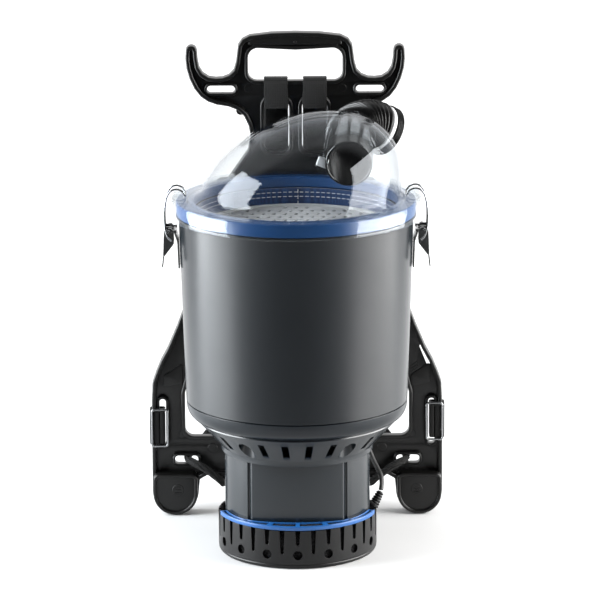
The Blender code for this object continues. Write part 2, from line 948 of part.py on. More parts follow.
def back_plate():
    outline = mirrored(plate_half())
    windows = plate_windows()
    depth = PANEL_BACK - PANEL_FRONT
    panel = plate([inset(outline, 1.6)] + [w for w, rim in windows if rim == 0], depth)
    shape = moved(panel, STAND_UP, shift(0, (PANEL_FRONT + PANEL_BACK) / 2, 0))
    edge = plate([outline, inset(outline, 4.2)], PLATE_BACK - PLATE_FRONT)
    rims = [moved(edge, STAND_UP, shift(0, (PLATE_FRONT + PLATE_BACK) / 2, 0))]
    holes = []
    for window, rim in windows:
        if rim:
            raised = plate([inset(window, -rim), window], 11.0)
            rims.append(moved(raised, STAND_UP, shift(0, PANEL_BACK - 3.6, 0)))
            hole = plate([inset(window, -rim / 2)], 30)
            holes.append(moved(hole, STAND_UP, shift(0, PANEL_BACK, 0)))
    for hole in holes:
        shape = combine(shape, hole, "DIFFERENCE", solver="MANIFOLD")
    for rim in rims:
        shape = combine(shape, rim, "UNION", solver="MANIFOLD")
    for side in (-1, 1):
        toe = filleted(((103.7, 0.7, 22.6), (149.9, 0.7, 22.6), (149.5, 44, 6), (103.7, 44, 6)), 4)
        toe = toe if side > 0 else swapped(toe)
        wall = plate([toe, inset(toe, 4.2)], PANEL_BACK - FOOT_FRONT)
        wall = moved(wall, STAND_UP, shift(0, (PANEL_BACK + FOOT_FRONT) / 2, 0))
        tray = inset(toe, 2.1)
        block = moved(plate([tray], 17.0), STAND_UP, shift(0, FOOT_FRONT + 11.0, 0))
        shape = combine(shape, wall, "UNION", solver="MANIFOLD")
        shape = combine(shape, block, "UNION", solver="MANIFOLD")
    part("back_plate", shape, "plate_plastic")


def brackets():
    """The saddle above and the block below that hold the canister to the plate."""
    saddle = box((60, 16, 26), (0, PANEL_FRONT - 8.4, 322))
    drum = rod(canister_radius(322) + 0.7, (0, 0, 300), (0, 0, 345), sides=ROUND)
    part("canister_saddle", cut(saddle, drum), "plate_plastic")
    block = box((46, PANEL_FRONT - 60, 22), (0, (PANEL_FRONT + 60) / 2 - 0.4, 58))
    core = rod(HOUSING_R + 0.5, (0, 0, 30), (0, 0, 90), sides=ROUND)
    part("motor_bracket", cut(block, core), "plate_plastic")


# ---------------------------------------------------------------- harness


def back_pad():
    pad = soft_box((176, 22, 250), (0, PANEL_BACK + 19, 232), 9, 2)
    part("back_pad", pad, "foam")


def strap_loop(x, low, high, thick, wide):
    """Webbing folded round a horizontal bar of the plate, as a flat closed band."""
    front, back = PANEL_FRONT - 6.4, PANEL_BACK + 6.2
    outer = filleted(
        (
            (front - thick, low, 2.4),
            (back + thick, low, 2.4),
            (back + thick, high + thick, 2.4),
            (front - thick, high + thick, 2.4),
        )
    )
    inner = rectangle(front, low + thick, back, high, 1.2, 2)
    band = plate([outer, inner], wide)
    return moved(band, turn(90.0, "X"), turn(90.0, "Z"), shift(x, 0, 0))


def harness():
    for side, suffix in ((-1, "L"), (1, "R")):
        loop = strap_loop(side * 19.3, 427.4, 457.2, 1.8, 24)
        part("top_strap_loop_" + suffix, loop, "webbing")
        around = (137.0, PLATE_FRONT - 2.4, 152.8, PLATE_BACK + 2.4)
        within = (138.8, PLATE_FRONT - 0.6, 151.0, PLATE_BACK + 0.6)
        outer = rectangle(*around, 2.6)
        inner = rectangle(*within, 1.2)
        if side < 0:
            outer, inner = swapped(outer), swapped(inner)
        lift = shift(0, 0, BELT_LOOP_Z[suffix])
        part("belt_loop_" + suffix, moved(plate([outer, inner], BELT_LOOP_HEIGHT), lift), "webbing")
        strap = soft_box((46, 9, 330), (side * 42, PANEL_BACK + 37, 300), 3.4, 2)
        part("shoulder_strap_" + suffix, strap, "webbing")


def belt_rings():
    """A flat rectangular steel glide on the front of each belt loop."""
    reach = BELT_LOOP_HEIGHT / 2 + 2.6
    for side, suffix in ((-1, "L"), (1, "R")):
        outer = rectangle(133.0, -reach, 151.4, reach, 3.4)
        inner = rectangle(135.2, 2.2 - reach, 149.2, reach - 2.2, 1.6)
        loops = [outer, inner] if side > 0 else [swapped(outer), swapped(inner)]
        place = shift(0, PLATE_FRONT - 4.2, BELT_LOOP_Z[suffix])
        part("belt_ring_" + suffix, moved(plate(loops, 2.0), STAND_UP, place), "steel")


LOWER_STRAP = [
    (44.0, 168.0, 130.6),
    (58.0, 168.6, 114.0),
    (82.0, 160.0, 90.0),
    (104.0, 144.0, 66.0),
    (113.0, 136.0, 58.0),
    (113.5, 127.0, 56.6),
    (110.0, 118.6, 56.0),
    (103.0, 114.4, 53.6),
    (95.5, 113.4, 49.0),
    (88.0, 113.4, 43.6),
    (81.5, 114.6, 38.0),
    (77.5, 118.6, 32.6),
    (76.0, 126.0, 30.6),
    (77.0, 134.6, 33.6),
    (78.0, 139.0, 41.0),
]


def lower_straps():
    """Webbing from each shoulder strap's foot, through the plate's lower slot, tucked under its edge."""
    for side, suffix in ((-1, "L"), (1, "R")):
        route = [(side * x, y, z) for x, y, z in LOWER_STRAP]
        part("lower_strap_" + suffix, tube(smooth_route(route, 18), 3.8, resolution=1), "webbing")


# ---------------------------------------------------------------- power lead and switch

LEAD_ROUTE = [
    (85.4, 43.6, 46.0),
    (86.2, 47.0, 52.5),
    (85.6, 53.5, 58.0),
    (82.8, 62.0, 62.5),
    (79.0, 71.0, 68.0),
    (75.0, 79.5, 76.0),
    (71.2, 87.0, 86.0),
    (67.8, 94.0, 95.6),
    (64.4, 102.0, 102.4),
    (61.2, 111.0, 106.0),
    (58.8, 121.0, 106.4),
    (57.0, 131.0, 104.0),
    (55.8, 139.0, 98.6),
    (55.1, 144.4, 90.6),
    (55.0, 146.0, 81.6),
]


def power_parts():
    relief_start = Vector((77.0, 36.6, 31.0))
    relief_end = Vector((84.9, 42.9, 44.4))
    relief = rod(5.4, relief_start, relief_end, sides=14, end_radius=3.6)
    part("strain_relief", relief, "grey_plastic")
    part("power_lead", tube(smooth_route(LEAD_ROUTE, 22), 2.4), "rubber")
    gland = rod(4.4, (55, 146, 73.4), (55, 146, 81.0), sides=14)
    part("lead_gland", gland, "rubber")
    case = soft_box((66, 26, 34), (40, 147.2, 56), 3.0, 2)
    well = box((23, 16, 17), (56, 161, 56))
    socket_hole = rod(9.0, (24, 147.2, 30), (24, 147.2, 46), sides=20)
    part("switch_box", cut(case, well, socket_hole), "plate_plastic")
    rocker_shape = filleted(
        ((-10.6, -3.2, 2), (10.6, -3.2, 2), (10.6, 2.6, 1.5), (0, 0.9, 0), (-10.6, 2.6, 1.5))
    )
    rocker = moved(plate([rocker_shape], 15.6), shift(56, 158.6, 56))
    part("power_switch", rocker, "hose_plastic", origin=(56, 157.4, 56))
    socket = ring_tube(8.6, 6.0, (24, 147.2, 39.6), (24, 147.2, 45.6), sides=20)
    part("inlet_socket", socket, "rubber")


# ---------------------------------------------------------------- motor


def collar(outer, inner, low, high):
    """A plain turned ring of rectangular section."""
    return turned([(outer, high), (outer, low), (inner, low), (inner, high)], INNER_ROUND)


def fan():
    can = [
        (18, 133.0),
        (56, 133.0),
        (58, 131.0),
        (58, 106.0),
        (14, 106.0),
        (14, 108.0),
        (56, 108.0),
        (56, 131.0),
        (18, 131.0),
    ]
    part("fan_can", turned(can, INNER_ROUND), "steel")
    hub = turned(
        [
            (0, 127),
            (8, 127),
            (9, 122),
            (52, 115),
            (52, 113),
            (4.2, 113),
            (4.2, 112.8),
            (0, 112.8),
        ],
        INNER_ROUND,
    )
    blades = []
    for k in range(FAN_BLADES):
        blade = box((34, 1.4, 9), (33, 0, 118.4))
        blades.append(moved(blade, turn(360.0 / FAN_BLADES * k, "Z")))
    part("impeller", join(hub, *blades), "steel")


def motor():
    part("motor_field", collar(40, 29, 50, 92), "steel")
    armature = [
        (0, 112.4),
        (SHAFT_R, 112.4),
        (SHAFT_R, 98),
        (11, 97),
        (11, 92.5),
        (27, 91),
        (27, 52),
        (12, 50),
        (12, 42),
        (SHAFT_R, 41.6),
        (SHAFT_R, 31),
        (0, 31),
    ]
    part("rotor", turned(armature, INNER_ROUND), "copper")
    part("upper_bearing", collar(10.4, SHAFT_R + 0.5, 99, 105.4), "steel")
    part("lower_bearing", collar(10.4, SHAFT_R + 0.5, 33, 39), "steel")
    fan_end = [(44, 105.6), (44, 92.4), (39, 92.4), (39, 99), (10.8, 99), (10.8, 105.6)]
    part("fan_end_bracket", turned(fan_end, INNER_ROUND), "steel")
    brush_end = [(44, 49.6), (44, 33), (10.8, 33), (10.8, 39), (40, 39), (40, 49.6)]
    part("brush_end_bracket", turned(brush_end, INNER_ROUND), "steel")
    for side, suffix in ((-1, "L"), (1, "R")):
        part("carbon_brush_" + suffix, box((20, 6, 6), (side * 23.0, 0, 45.4)), "foam")
    part("motor_mount_ring", collar(46, 30, 3.6, 32.4), "rubber")
    part("motor_seal", collar(30, 20, 133.4, 149.6), "rubber")


def screws():
    profile = [(0, 133.2), (1.8, 133.2), (1.8, 131.2), (4.6, 131.2), (4.0, 128.2), (0, 127.8)]
    for k, angle in enumerate(POCKET_ANGLES):
        head = moved(turned(profile, 10), shift(0, -POCKET_AT, 0), turn(angle, "Z"))
        part(f"shroud_screw_{k + 1}", head, "steel")


# ---------------------------------------------------------------- build

exhaust_cage()
exhaust_filter_frame()
exhaust_foam()
motor_housing()
vent_shroud()
lower_bowl()
canister_shell()
bag_ring()
filter_bag()
perforated_disc()
pre_motor_filter()
lid()
hose_cuff()
hose_pieces()
latch(-1, "L")
latch(1, "R")
back_plate()
brackets()
back_pad()
harness()
belt_rings()
lower_straps()
power_parts()
fan()
motor()
screws()
CUTTERS.hide_render = True
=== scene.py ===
import math

import bmesh
import bpy
from mathutils import Matrix, Vector, noise


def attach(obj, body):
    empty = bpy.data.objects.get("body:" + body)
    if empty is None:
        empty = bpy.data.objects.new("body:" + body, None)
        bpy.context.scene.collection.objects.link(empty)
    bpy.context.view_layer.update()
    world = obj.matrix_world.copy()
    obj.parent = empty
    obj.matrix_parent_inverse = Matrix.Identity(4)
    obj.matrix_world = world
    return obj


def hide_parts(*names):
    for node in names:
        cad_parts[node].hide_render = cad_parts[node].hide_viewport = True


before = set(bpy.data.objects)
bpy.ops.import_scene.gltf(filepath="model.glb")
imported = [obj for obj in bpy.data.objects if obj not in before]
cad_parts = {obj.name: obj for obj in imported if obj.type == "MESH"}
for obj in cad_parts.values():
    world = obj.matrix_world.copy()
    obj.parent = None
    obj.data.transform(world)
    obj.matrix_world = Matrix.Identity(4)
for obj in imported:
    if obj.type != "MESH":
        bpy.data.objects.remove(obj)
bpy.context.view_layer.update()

MM = 0.001
ROUND = 144  # facets round the large turned shells
BODY = "frame"
HOSE_BODY = "hose_assembly"
SIDES = ((-1, "L"), (1, "R"))

# Driving sizes in millimetres, the same as the CAD part's.
CAGE_R = 80.0
CAGE_TOP = 40.0
CAGE_PITCH = 11.25
HOUSING_R = 73.0
HOUSING_FRONT = 64.5
HOUSING_RIB_X = 48.5
VENT_PITCH = 15.0
POCKET_ANGLES = (-36.0, 36.0, 144.0, 216.0)
POCKET_R = 8.0
POCKET_AT = 85.0
SEAM_Z = 156.6
CANISTER_FOOT_R = 111.0
CANISTER_TOP_R = 116.85
CANISTER_TOP = 346.6
RING_TOP = 360.4
RING_R = 119.0
LID_Z = 364.0
LID_R = 125.6
LID_WALL = 2.6
DOME_R = 99.5
DOME_HEIGHT = 85.0
DOME_LEAN = (4.0, 30.0, -6.0)
INLET_FROM = Vector((52.5, -14.0, 398.4))
INLET_AXIS = Vector((2.5, 84.0, 11.9)).normalized()
INLET_END = 84.0
INLET_R = 24.1
HOSE_R = 25.6
HOSE_END = Vector((83.0, 104.0, 412.0))
HOSE_END_AXIS = Vector((0.72, 0.50, -0.48)).normalized()
HOSE_HANDLE = 19.0
PLATE_FRONT = 119.0
PLATE_BACK = 133.5
PANEL_FRONT = 127.0
PANEL_BACK = 130.5
FOOT_FRONT = 109.0
LATCH_BAIL = (124.5, 320.2)
BELT_LOOP_Z = {"L": 93.0, "R": 99.0}
BELT_LOOP_HEIGHT = 36.0

# ---- mesh tools


def link(name, data):
    obj = bpy.data.objects.new(name, data)
    bpy.context.scene.collection.objects.link(obj)
    return obj


def written(bm, mesh=None):
    """The faces that were being edited, as a mesh."""
    if mesh is None:
        mesh = bpy.data.meshes.new("mesh")
    bm.to_mesh(mesh)
    bm.free()
    return mesh


def settle(mesh):
    """Welds touching points and turns all faces outwards."""
    bm = bmesh.new()
    bm.from_mesh(mesh)
    bmesh.ops.remove_doubles(bm, verts=bm.verts, dist=1e-7)
    bmesh.ops.recalc_face_normals(bm, faces=bm.faces)
    return written(bm, mesh)


def evaluated(obj):
    """The object's mesh as its modifiers leave it. The object is removed."""
    graph = bpy.context.evaluated_depsgraph_get()
    mesh = bpy.data.meshes.new_from_object(obj.evaluated_get(graph))
    bpy.data.objects.remove(obj, do_unlink=True)
    return mesh


def modified(mesh, kind, **settings):
    """The mesh with one modifier applied."""
    obj = link("modified", mesh)
    modifier = obj.modifiers.new("modifier", kind)
    for name, value in settings.items():
        setattr(modifier, name, value)
    return settle(evaluated(obj))


def moved(mesh, *matrices):
    copy = mesh.copy()
    for matrix in matrices:
        copy.transform(matrix)
    return copy


def shift(x, y, z):
    return Matrix.Translation(Vector((x, y, z)) * MM)


def turn(degrees, axis):
    return Matrix.Rotation(math.radians(degrees), 4, axis)


STAND_UP = turn(90.0, "X")


def polar(radius, angle):
    return radius * math.cos(angle), radius * math.sin(angle)


def turned(profile, steps=ROUND):
    """A closed profile of (radius, height) turned round the Z axis."""
    bm = bmesh.new()
    rings = []
    for radius, height in profile:
        if radius < 1e-6:
            rings.append([bm.verts.new((0, 0, height * MM))])
            continue
        ring = []
        for k in range(steps):
            x, y = polar(radius, 2 * math.pi * k / steps)
            ring.append(bm.verts.new((x * MM, y * MM, height * MM)))
        rings.append(ring)
    for a, b in zip(rings, rings[1:] + rings[:1]):
        if len(a) == 1 and len(b) == 1:
            continue
        for k in range(steps):
            n = (k + 1) % steps
            corners = (a[k % len(a)], a[n % len(a)], b[n % len(b)], b[k % len(b)])
            bm.faces.new(list(dict.fromkeys(corners)))  # a pole counts once
    return settle(written(bm))


def skin(rings, ends_joined):
    """A surface through rings of points. Its two ends are joined to each other, or capped."""
    bm = bmesh.new()
    rows = [[bm.verts.new(point) for point in ring] for ring in rings]
    following = rows[1:] + rows[:1] if ends_joined else rows[1:]
    for a, b in zip(rows, following):
        for k in range(len(a)):
            n = (k + 1) % len(a)
            bm.faces.new((a[k], a[n], b[n], b[k]))
    if not ends_joined:
        bm.faces.new(rows[0][::-1])
        bm.faces.new(rows[-1])
    return settle(written(bm))


def plate(outlines, depth, bevel=0.0, resolution=2):
    """Flat outlines, the inner ones as holes, given a thickness and rounded rims."""
    curve = bpy.data.curves.new("plate", "CURVE")
    curve.dimensions = "2D"
    curve.fill_mode = "BOTH"
    curve.extrude = (depth / 2 - bevel) * MM
    curve.bevel_depth = bevel * MM
    curve.bevel_resolution = resolution
    curve.offset = -bevel * MM
    for outline in outlines:
        spline = curve.splines.new("POLY")
        spline.points.add(len(outline) - 1)
        for point, (x, y) in zip(spline.points, outline):
            point.co = (x * MM, y * MM, 0, 1)
        spline.use_cyclic_u = True
    return settle(evaluated(link("plate", curve)))


def upright(outlines, depth, y, bevel=0.0, resolution=2):
    """A plate that stands in the XZ plane, its middle at y."""
    return moved(plate(outlines, depth, bevel, resolution), STAND_UP, shift(0, y, 0))


def aimed(mesh, start, end, place):
    """The mesh with its Z axis turned to run from start to end, moved to the place."""
    direction = Vector(end) - Vector(start)
    mesh.transform(direction.to_track_quat("Z", "Y").to_matrix().to_4x4())
    mesh.transform(shift(*place))
    return mesh


def level(outlines, depth, z, bevel=0.0, resolution=2):
    """A plate that lies flat, its middle at height z."""
    return moved(plate(outlines, depth, bevel, resolution), shift(0, 0, z))


def box(size, center):
    bm = bmesh.new()
    bmesh.ops.create_cube(bm, size=1.0)
    return moved(written(bm), Matrix.Diagonal((*(s * MM for s in size), 1)), shift(*center))


def rod(radius, start, end, sides=32):
    start, end = Vector(start), Vector(end)
    sizes = {"radius1": radius * MM, "radius2": radius * MM, "depth": (end - start).length * MM}
    bm = bmesh.new()
    bmesh.ops.create_cone(bm, cap_ends=True, segments=sides, **sizes)
    return aimed(written(bm), start, end, (start + end) / 2)


def tube(points, radius, resolution=5):
    """A round wire along the points, in millimetres."""
    curve = bpy.data.curves.new("tube", "CURVE")
    curve.dimensions = "3D"
    curve.bevel_depth = radius * MM
    curve.bevel_resolution = resolution
    curve.use_fill_caps = True
    spline = curve.splines.new("POLY")
    spline.points.add(len(points) - 1)
    for point, place in zip(spline.points, points):
        point.co = (*(Vector(place) * MM), 1)
    return settle(evaluated(link("tube", curve)))


def merged(meshes):
    bm = bmesh.new()
    for mesh in meshes:
        bm.from_mesh(mesh)
    return written(bm)


def combine(mesh, other, operation):
    cutter = link("cutter", other)
    found = modified(mesh, "BOOLEAN", operation=operation, solver="EXACT", object=cutter)
    bpy.data.objects.remove(cutter, do_unlink=True)
    return found


def cut(mesh, *cutters):
    return combine(mesh, merged(cutters), "DIFFERENCE")


def coat(obj, material):
    obj.data.materials.clear()
    obj.data.materials.append(material)


def show(name, mesh, material, slot, *nodes, body=BODY, degrees=32.0):
    """A finished piece: its material, its slot (not used), its body, and the nodes that it stands
    for.
    """
    mesh.shade_smooth()
    mesh.set_sharp_from_angle(angle=math.radians(degrees))
    obj = link(name, mesh)
    coat(obj, material)
    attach(obj, body)
    if nodes:
        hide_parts(*nodes)
    return obj


# ---- outlines


def arc(center, radius, start, end, count):
    points = []
    for i in range(count + 1):
        x, y = polar(radius, math.radians(start + (end - start) * i / count))
        points.append((center[0] + x, center[1] + y))
    return points


def filleted(corners, steps=6):
    """An outline whose corners (x, y, radius) are rounded."""
    points = []
    count = len(corners)
    for i, (x, y, radius) in enumerate(corners):
        here = Vector((x, y))
        before = (Vector(corners[i - 1][:2]) - here).normalized()
        after = (Vector(corners[(i + 1) % count][:2]) - here).normalized()
        if radius <= 0:
            points.append((x, y))
            continue
        half = math.acos(max(-1.0, min(1.0, before.dot(after)))) / 2
        reach = radius / math.tan(half)
        start, end = here + before * reach, here + after * reach
        center = here + (before + after).normalized() * (radius / math.sin(half))
        a = start - center
        b = end - center
        sweep = math.atan2(a.x * b.y - a.y * b.x, a.dot(b))
        first = math.atan2(a.y, a.x)
        for k in range(steps + 1):
            dx, dy = polar(radius, first + sweep * k / steps)
            points.append((center.x + dx, center.y + dy))
    return points


def rectangle(x0, y0, x1, y1, radius, steps=6):
    return filleted(((x0, y0, radius), (x1, y0, radius), (x1, y1, radius), (x0, y1, radius)), steps)


def inset(outline, distance):
    """The outline moved inwards by the distance, or outwards if it is negative."""
    count = len(outline)
    ends = zip(outline, outline[1:] + outline[:1])
    area = sum(x * v - u * y for (x, y), (u, v) in ends)
    sign = 1 if area > 0 else -1
    found = []
    for i in range(count):
        here = Vector(outline[i])
        before = (here - Vector(outline[i - 1])).normalized()
        after = (Vector(outline[(i + 1) % count]) - here).normalized()
        n1 = Vector((-before.y, before.x)) * sign
        n2 = Vector((-after.y, after.x)) * sign
        middle = (n1 + n2).normalized()
        found.append(tuple(here + middle * (distance / max(0.5, middle.dot(n1)))))
    return found


def mirrored(half):
    left = [(-x, y) for x, y in reversed(half) if x > 1e-6]
    return list(half) + left


def swapped(points):
    return [(-x, y) for x, y in reversed(points)]


def smooth_route(points, count):
    """Places along a smooth curve through the points."""
    places = []
    last = len(points) - 1
    for i in range(count + 1):
        t = last * i / count
        k = min(int(t), last - 1)
        u = t - k
        p0, p1 = Vector(points[max(k - 1, 0)]), Vector(points[k])
        p2, p3 = Vector(points[k + 1]), Vector(points[min(k + 2, last)])
        square = 2 * p0 - 5 * p1 + 4 * p2 - p3
        cube = 3 * p1 - p0 - 3 * p2 + p3
        places.append(0.5 * (2 * p1 + (p2 - p0) * u + square * u**2 + cube * u**3))
    return places


# ---- materials


PLASTIC_EDGE = 0.5  # how far edges are rounded in shading, in millimetres
STEEL_EDGE = 0.3


class Tree:
    """The node tree of a material or a world, with a short call for each kind of node."""

    def __init__(self, owner, end):
        owner.use_nodes = True
        self.owner = owner
        self.nodes = owner.node_tree.nodes
        self.end = self.nodes[end]

    def plug(self, socket, value):
        """A number or a colour is set on the socket itself, and an output is linked to it."""
        if isinstance(value, bpy.types.NodeSocket):
            self.owner.node_tree.links.new(value, socket)
        else:
            socket.default_value = value

    def feed(self, node, **inputs):
        for name, value in inputs.items():
            self.plug(node.inputs[name.replace("_", " ")], value)

    def add(self, kind, **inputs):
        node = self.nodes.new("ShaderNode" + kind)
        self.feed(node, **inputs)
        return node

    def places(self, scale=(1.0, 1.0, 1.0)):
        objects = self.add("TexCoord").outputs["Object"]
        return self.add("Mapping", Vector=objects, Scale=scale).outputs["Vector"]

    def along_y(self, space):
        places = self.add("TexCoord").outputs[space]
        return self.add("SeparateXYZ", Vector=places).outputs["Y"]

    def noise(self, vector, scale, detail=3.0, roughness=0.5):
        node = self.add("TexNoise", Vector=vector, Scale=scale, Detail=detail, Roughness=roughness)
        return node.outputs["Fac"]

    def wave(self, vector, direction, scale, **inputs):
        node = self.add("TexWave", Vector=vector, Scale=scale, **inputs)
        node.bands_direction = direction
        return node.outputs["Fac"]

    def spread(self, value, low, high, source_low=0.3, source_high=0.7):
        """Maps a texture's values to a range."""
        node = self.add("MapRange", Value=value, From_Min=source_low, From_Max=source_high)
        self.feed(node, To_Min=low, To_Max=high)
        return node.outputs["Result"]

    def tint(self, factor, dark, light):
        ramp = self.add("ValToRGB", Fac=factor)
        for element, color, position in zip(ramp.color_ramp.elements, (dark, light), (0.3, 0.7)):
            element.color = (*color, 1.0)
            element.position = position
        return ramp.outputs["Color"]

    def arithmetic(self, operation, *values):
        node = self.add("Math")
        node.operation = operation
        for value, socket in zip(values, node.inputs):
            self.plug(socket, value)
        return node.outputs[0]

    def soft_edge(self, radius):
        """A normal that rounds the edges, so that they catch the light."""
        bevel = self.add("Bevel", Radius=radius * MM)
        bevel.samples = 3
        return bevel.outputs["Normal"]

    def bump(self, height, distance, strength=1.0, **before):
        node = self.add("Bump", Height=height, Distance=distance, Strength=strength, **before)
        self.feed(self.end, Normal=node.outputs["Normal"])
        return node.outputs["Normal"]


def shader(name, color, roughness, metallic=0.0, **sockets):
    made = Tree(bpy.data.materials.new(name), "Principled BSDF")
    made.feed(made.end, Base_Color=(*color, 1.0), Roughness=roughness, Metallic=metallic, **sockets)
    return made


def plastic(name, color, roughness, grain=900.0, depth=0.00003, vary=0.12, specular=0.5):
    """Moulded plastic: a fine grain, and soft blotches of gloss and colour."""
    made = shader(name, color, roughness, Specular_IOR_Level=specular)
    vector = made.places()
    dark = tuple(c * (1 - vary) for c in color)
    light = tuple(min(1.0, c * (1 + vary)) for c in color)
    smudge = made.noise(vector, 38.0, 5.0, 0.6)
    made.feed(
        made.end,
        Base_Color=made.tint(made.noise(vector, 14.0, 4.0), dark, light),
        Roughness=made.spread(smudge, roughness * 0.95, roughness * 1.07),
    )
    made.bump(made.noise(vector, grain, 2.0), depth, 0.6, Normal=made.soft_edge(PLASTIC_EDGE))
    return made.owner


def polished_steel():
    made = shader("polished_steel", (0.23, 0.235, 0.24), 0.18, 1.0)
    streak = made.noise(made.places((1.0, 1.0, 0.06)), 1500.0, 3.0)
    made.feed(made.end, Roughness=made.spread(streak, 0.13, 0.27))
    made.bump(streak, 0.00001, 0.5, Normal=made.soft_edge(STEEL_EDGE))
    return made.owner


def clear_plastic():
    """Clear moulded plastic: see-through face on, and a mirror for the lights at a slant."""
    made = shader("clear_lid", (0.93, 0.96, 1.0), 0.5, 1.0)
    vector = made.places()
    normal = made.bump(made.noise(vector, 16.0, 2.0), 0.0008, 0.3)
    smear = made.noise(vector, 60.0, 4.0, 0.65)
    made.feed(made.end, Roughness=made.spread(smear, 0.03, 0.08))
    clear = made.add("BsdfTransparent", Color=(0.935, 0.945, 0.95, 1.0))
    weight = made.add("LayerWeight", Blend=0.5, Normal=normal)
    steep = made.arithmetic("POWER", weight.outputs["Facing"], 5.2)
    mix = made.add("MixShader", Fac=made.spread(steep, 0.015, 0.65, 0.0, 1.0))
    made.plug(mix.inputs[1], clear.outputs["BSDF"])
    made.plug(mix.inputs[2], made.end.outputs["BSDF"])
    made.feed(made.nodes["Material Output"], Surface=mix.outputs["Shader"])
    return made.owner


def woven(name, dark, light, threads, depth, sheen):
    """Woven cloth: crossed threads with uneven yarn, painted shade in the dips between the threads,
    and a soft sheen.
    """
    sockets = {"Sheen_Weight": sheen, "Sheen_Roughness": 0.5, "Specular_IOR_Level": 0.25}
    made = shader(name, light, 0.85, **sockets)
    vector = made.places()
    uneven = {"Distortion": 1.2, "Detail": 1.0, "Detail_Scale": 3.0}
    across, upward, along = (made.wave(vector, d, threads / 6.3, **uneven) for d in "XYZ")
    yarn = made.arithmetic("MULTIPLY", upward, 0.33)
    flat = made.arithmetic("ADD", across, along)
    height = made.arithmetic("MULTIPLY_ADD", flat, 0.34, yarn)
    # the colour runs from dark in the dips of the weave to light on its crowns: painted shade
    # between the threads
    made.feed(made.end, Base_Color=made.tint(height, dark, light))
    made.bump(height, depth, 0.8)
    return made.owner


def open_foam():
    made = shader("open_foam", (0.012, 0.012, 0.012), 0.95, Specular_IOR_Level=0.12)
    cells = made.add("TexVoronoi", Vector=made.places(), Scale=520.0).outputs["Distance"]
    # darker at the bottom of each pore than on the cell walls: painted shade in the pores
    color = made.tint(cells, (0.0005, 0.0005, 0.0005), (0.012, 0.012, 0.0125))
    made.feed(made.end, Base_Color=color)
    made.bump(cells, 0.0012)
    return made.owner


def wound_copper():
    made = shader("wound_copper", (0.7, 0.33, 0.16), 0.35, 1.0)
    turns = made.wave(made.places(), "Z", 300.0)
    # darker in the grooves between the turns than on their crowns: painted shade between the
    # windings
    made.feed(made.end, Base_Color=made.tint(turns, (0.4, 0.16, 0.07), (0.78, 0.38, 0.2)))
    made.bump(turns, 0.0003, 0.8)
    return made.owner


BODY_MAT = plastic("charcoal_satin", (0.0026, 0.0044, 0.0062), 0.24, 700.0, 0.000005, 0.05, 0.44)
BOWL_MAT = plastic("slate_bowl", (0.004, 0.0062, 0.0085), 0.25, 800.0, 0.000006, 0.05, 0.28)
HOUSING_MAT = plastic("slate_satin", (0.004, 0.0066, 0.009), 0.24, 800.0, 0.000006, 0.05, 0.48)
CAGE_MAT = plastic("cage_grey", (0.0022, 0.0022, 0.0023), 0.34, 600.0, 0.00002, 0.1, 0.28)
BLUE_MAT = plastic("bright_blue", (0.006, 0.06, 0.2), 0.3, 700.0, 0.00003, 0.06)
RING_MAT = plastic("ring_blue", (0.005, 0.036, 0.115), 0.3, 700.0, 0.00001, 0.06)
PLATE_MAT = plastic("plate_black", (0.0018, 0.0017, 0.0016), 0.32, 900.0, 0.000003, 0.15, 0.34)
HOSE_MAT = plastic("hose_black", (0.0012, 0.0012, 0.0012), 0.24, 700.0, 0.00001, 0.1, 0.32)
GREY_MAT = plastic("light_grey", (0.36, 0.365, 0.37), 0.42, 700.0, 0.00003, 0.06)
DISC_MAT = plastic("disc_grey", (0.3, 0.3, 0.302), 0.5, 900.0, 0.00005, 0.1)
RUBBER_MAT = plastic("soft_rubber", (0.011, 0.011, 0.011), 0.55, 900.0, 0.00006, 0.15)
STEEL_MAT = polished_steel()
CLEAR_MAT = clear_plastic()
# the first colour given to each woven material is the painted shade in the dips of its weave
CLOTH_MAT = woven("bag_cloth", (0.003, 0.012, 0.045), (0.012, 0.04, 0.12), 1500.0, 0.0001, 0.25)
WEB_MAT = woven("webbing", (0.0008, 0.0008, 0.0008), (0.0045, 0.0044, 0.0042), 1100.0, 0.0002, 0.03)
PAD_MAT = woven("pad_mesh", (0.002, 0.002, 0.0022), (0.009, 0.009, 0.01), 900.0, 0.0002, 0.1)
THREAD_MAT = woven("white_thread", (0.35, 0.36, 0.38), (0.75, 0.76, 0.78), 2500.0, 0.00005, 0.2)
FOAM_MAT = open_foam()
COPPER_MAT = wound_copper()

# ---- camera and light


CAMERA_PLACE = (0.0, -4.0, 1.232)
CAMERA_TILT = 76.207
CAMERA_ROLL = -0.3
LENS = 247.13
LENS_SHIFT = (0.00583, 0.01105)
FLOOR_HALF = 9.0
FLOOR_LIGHT = (0.42, 0.42, 0.42)
FLOOR_DARK = (0.07, 0.07, 0.07)
FLOOR_FADE = (-0.9, -0.12)  # where along Y the floor turns from dark to light
GLOW_FADE = (0.1, 1.2)  # where along Y the floor starts to glow and where it glows fully
PANEL_Z = 0.4
PANEL_HEIGHT = 1.2


def make_camera():
    data = bpy.data.cameras.new("camera")
    data.lens = LENS
    data.sensor_width = 36.0
    data.shift_x, data.shift_y = LENS_SHIFT
    data.clip_end = 60.0
    camera = link("camera", data)
    tilted = Matrix.Translation(CAMERA_PLACE) @ turn(CAMERA_TILT, "X")
    camera.matrix_world = tilted @ turn(CAMERA_ROLL, "Z")
    bpy.context.scene.camera = camera


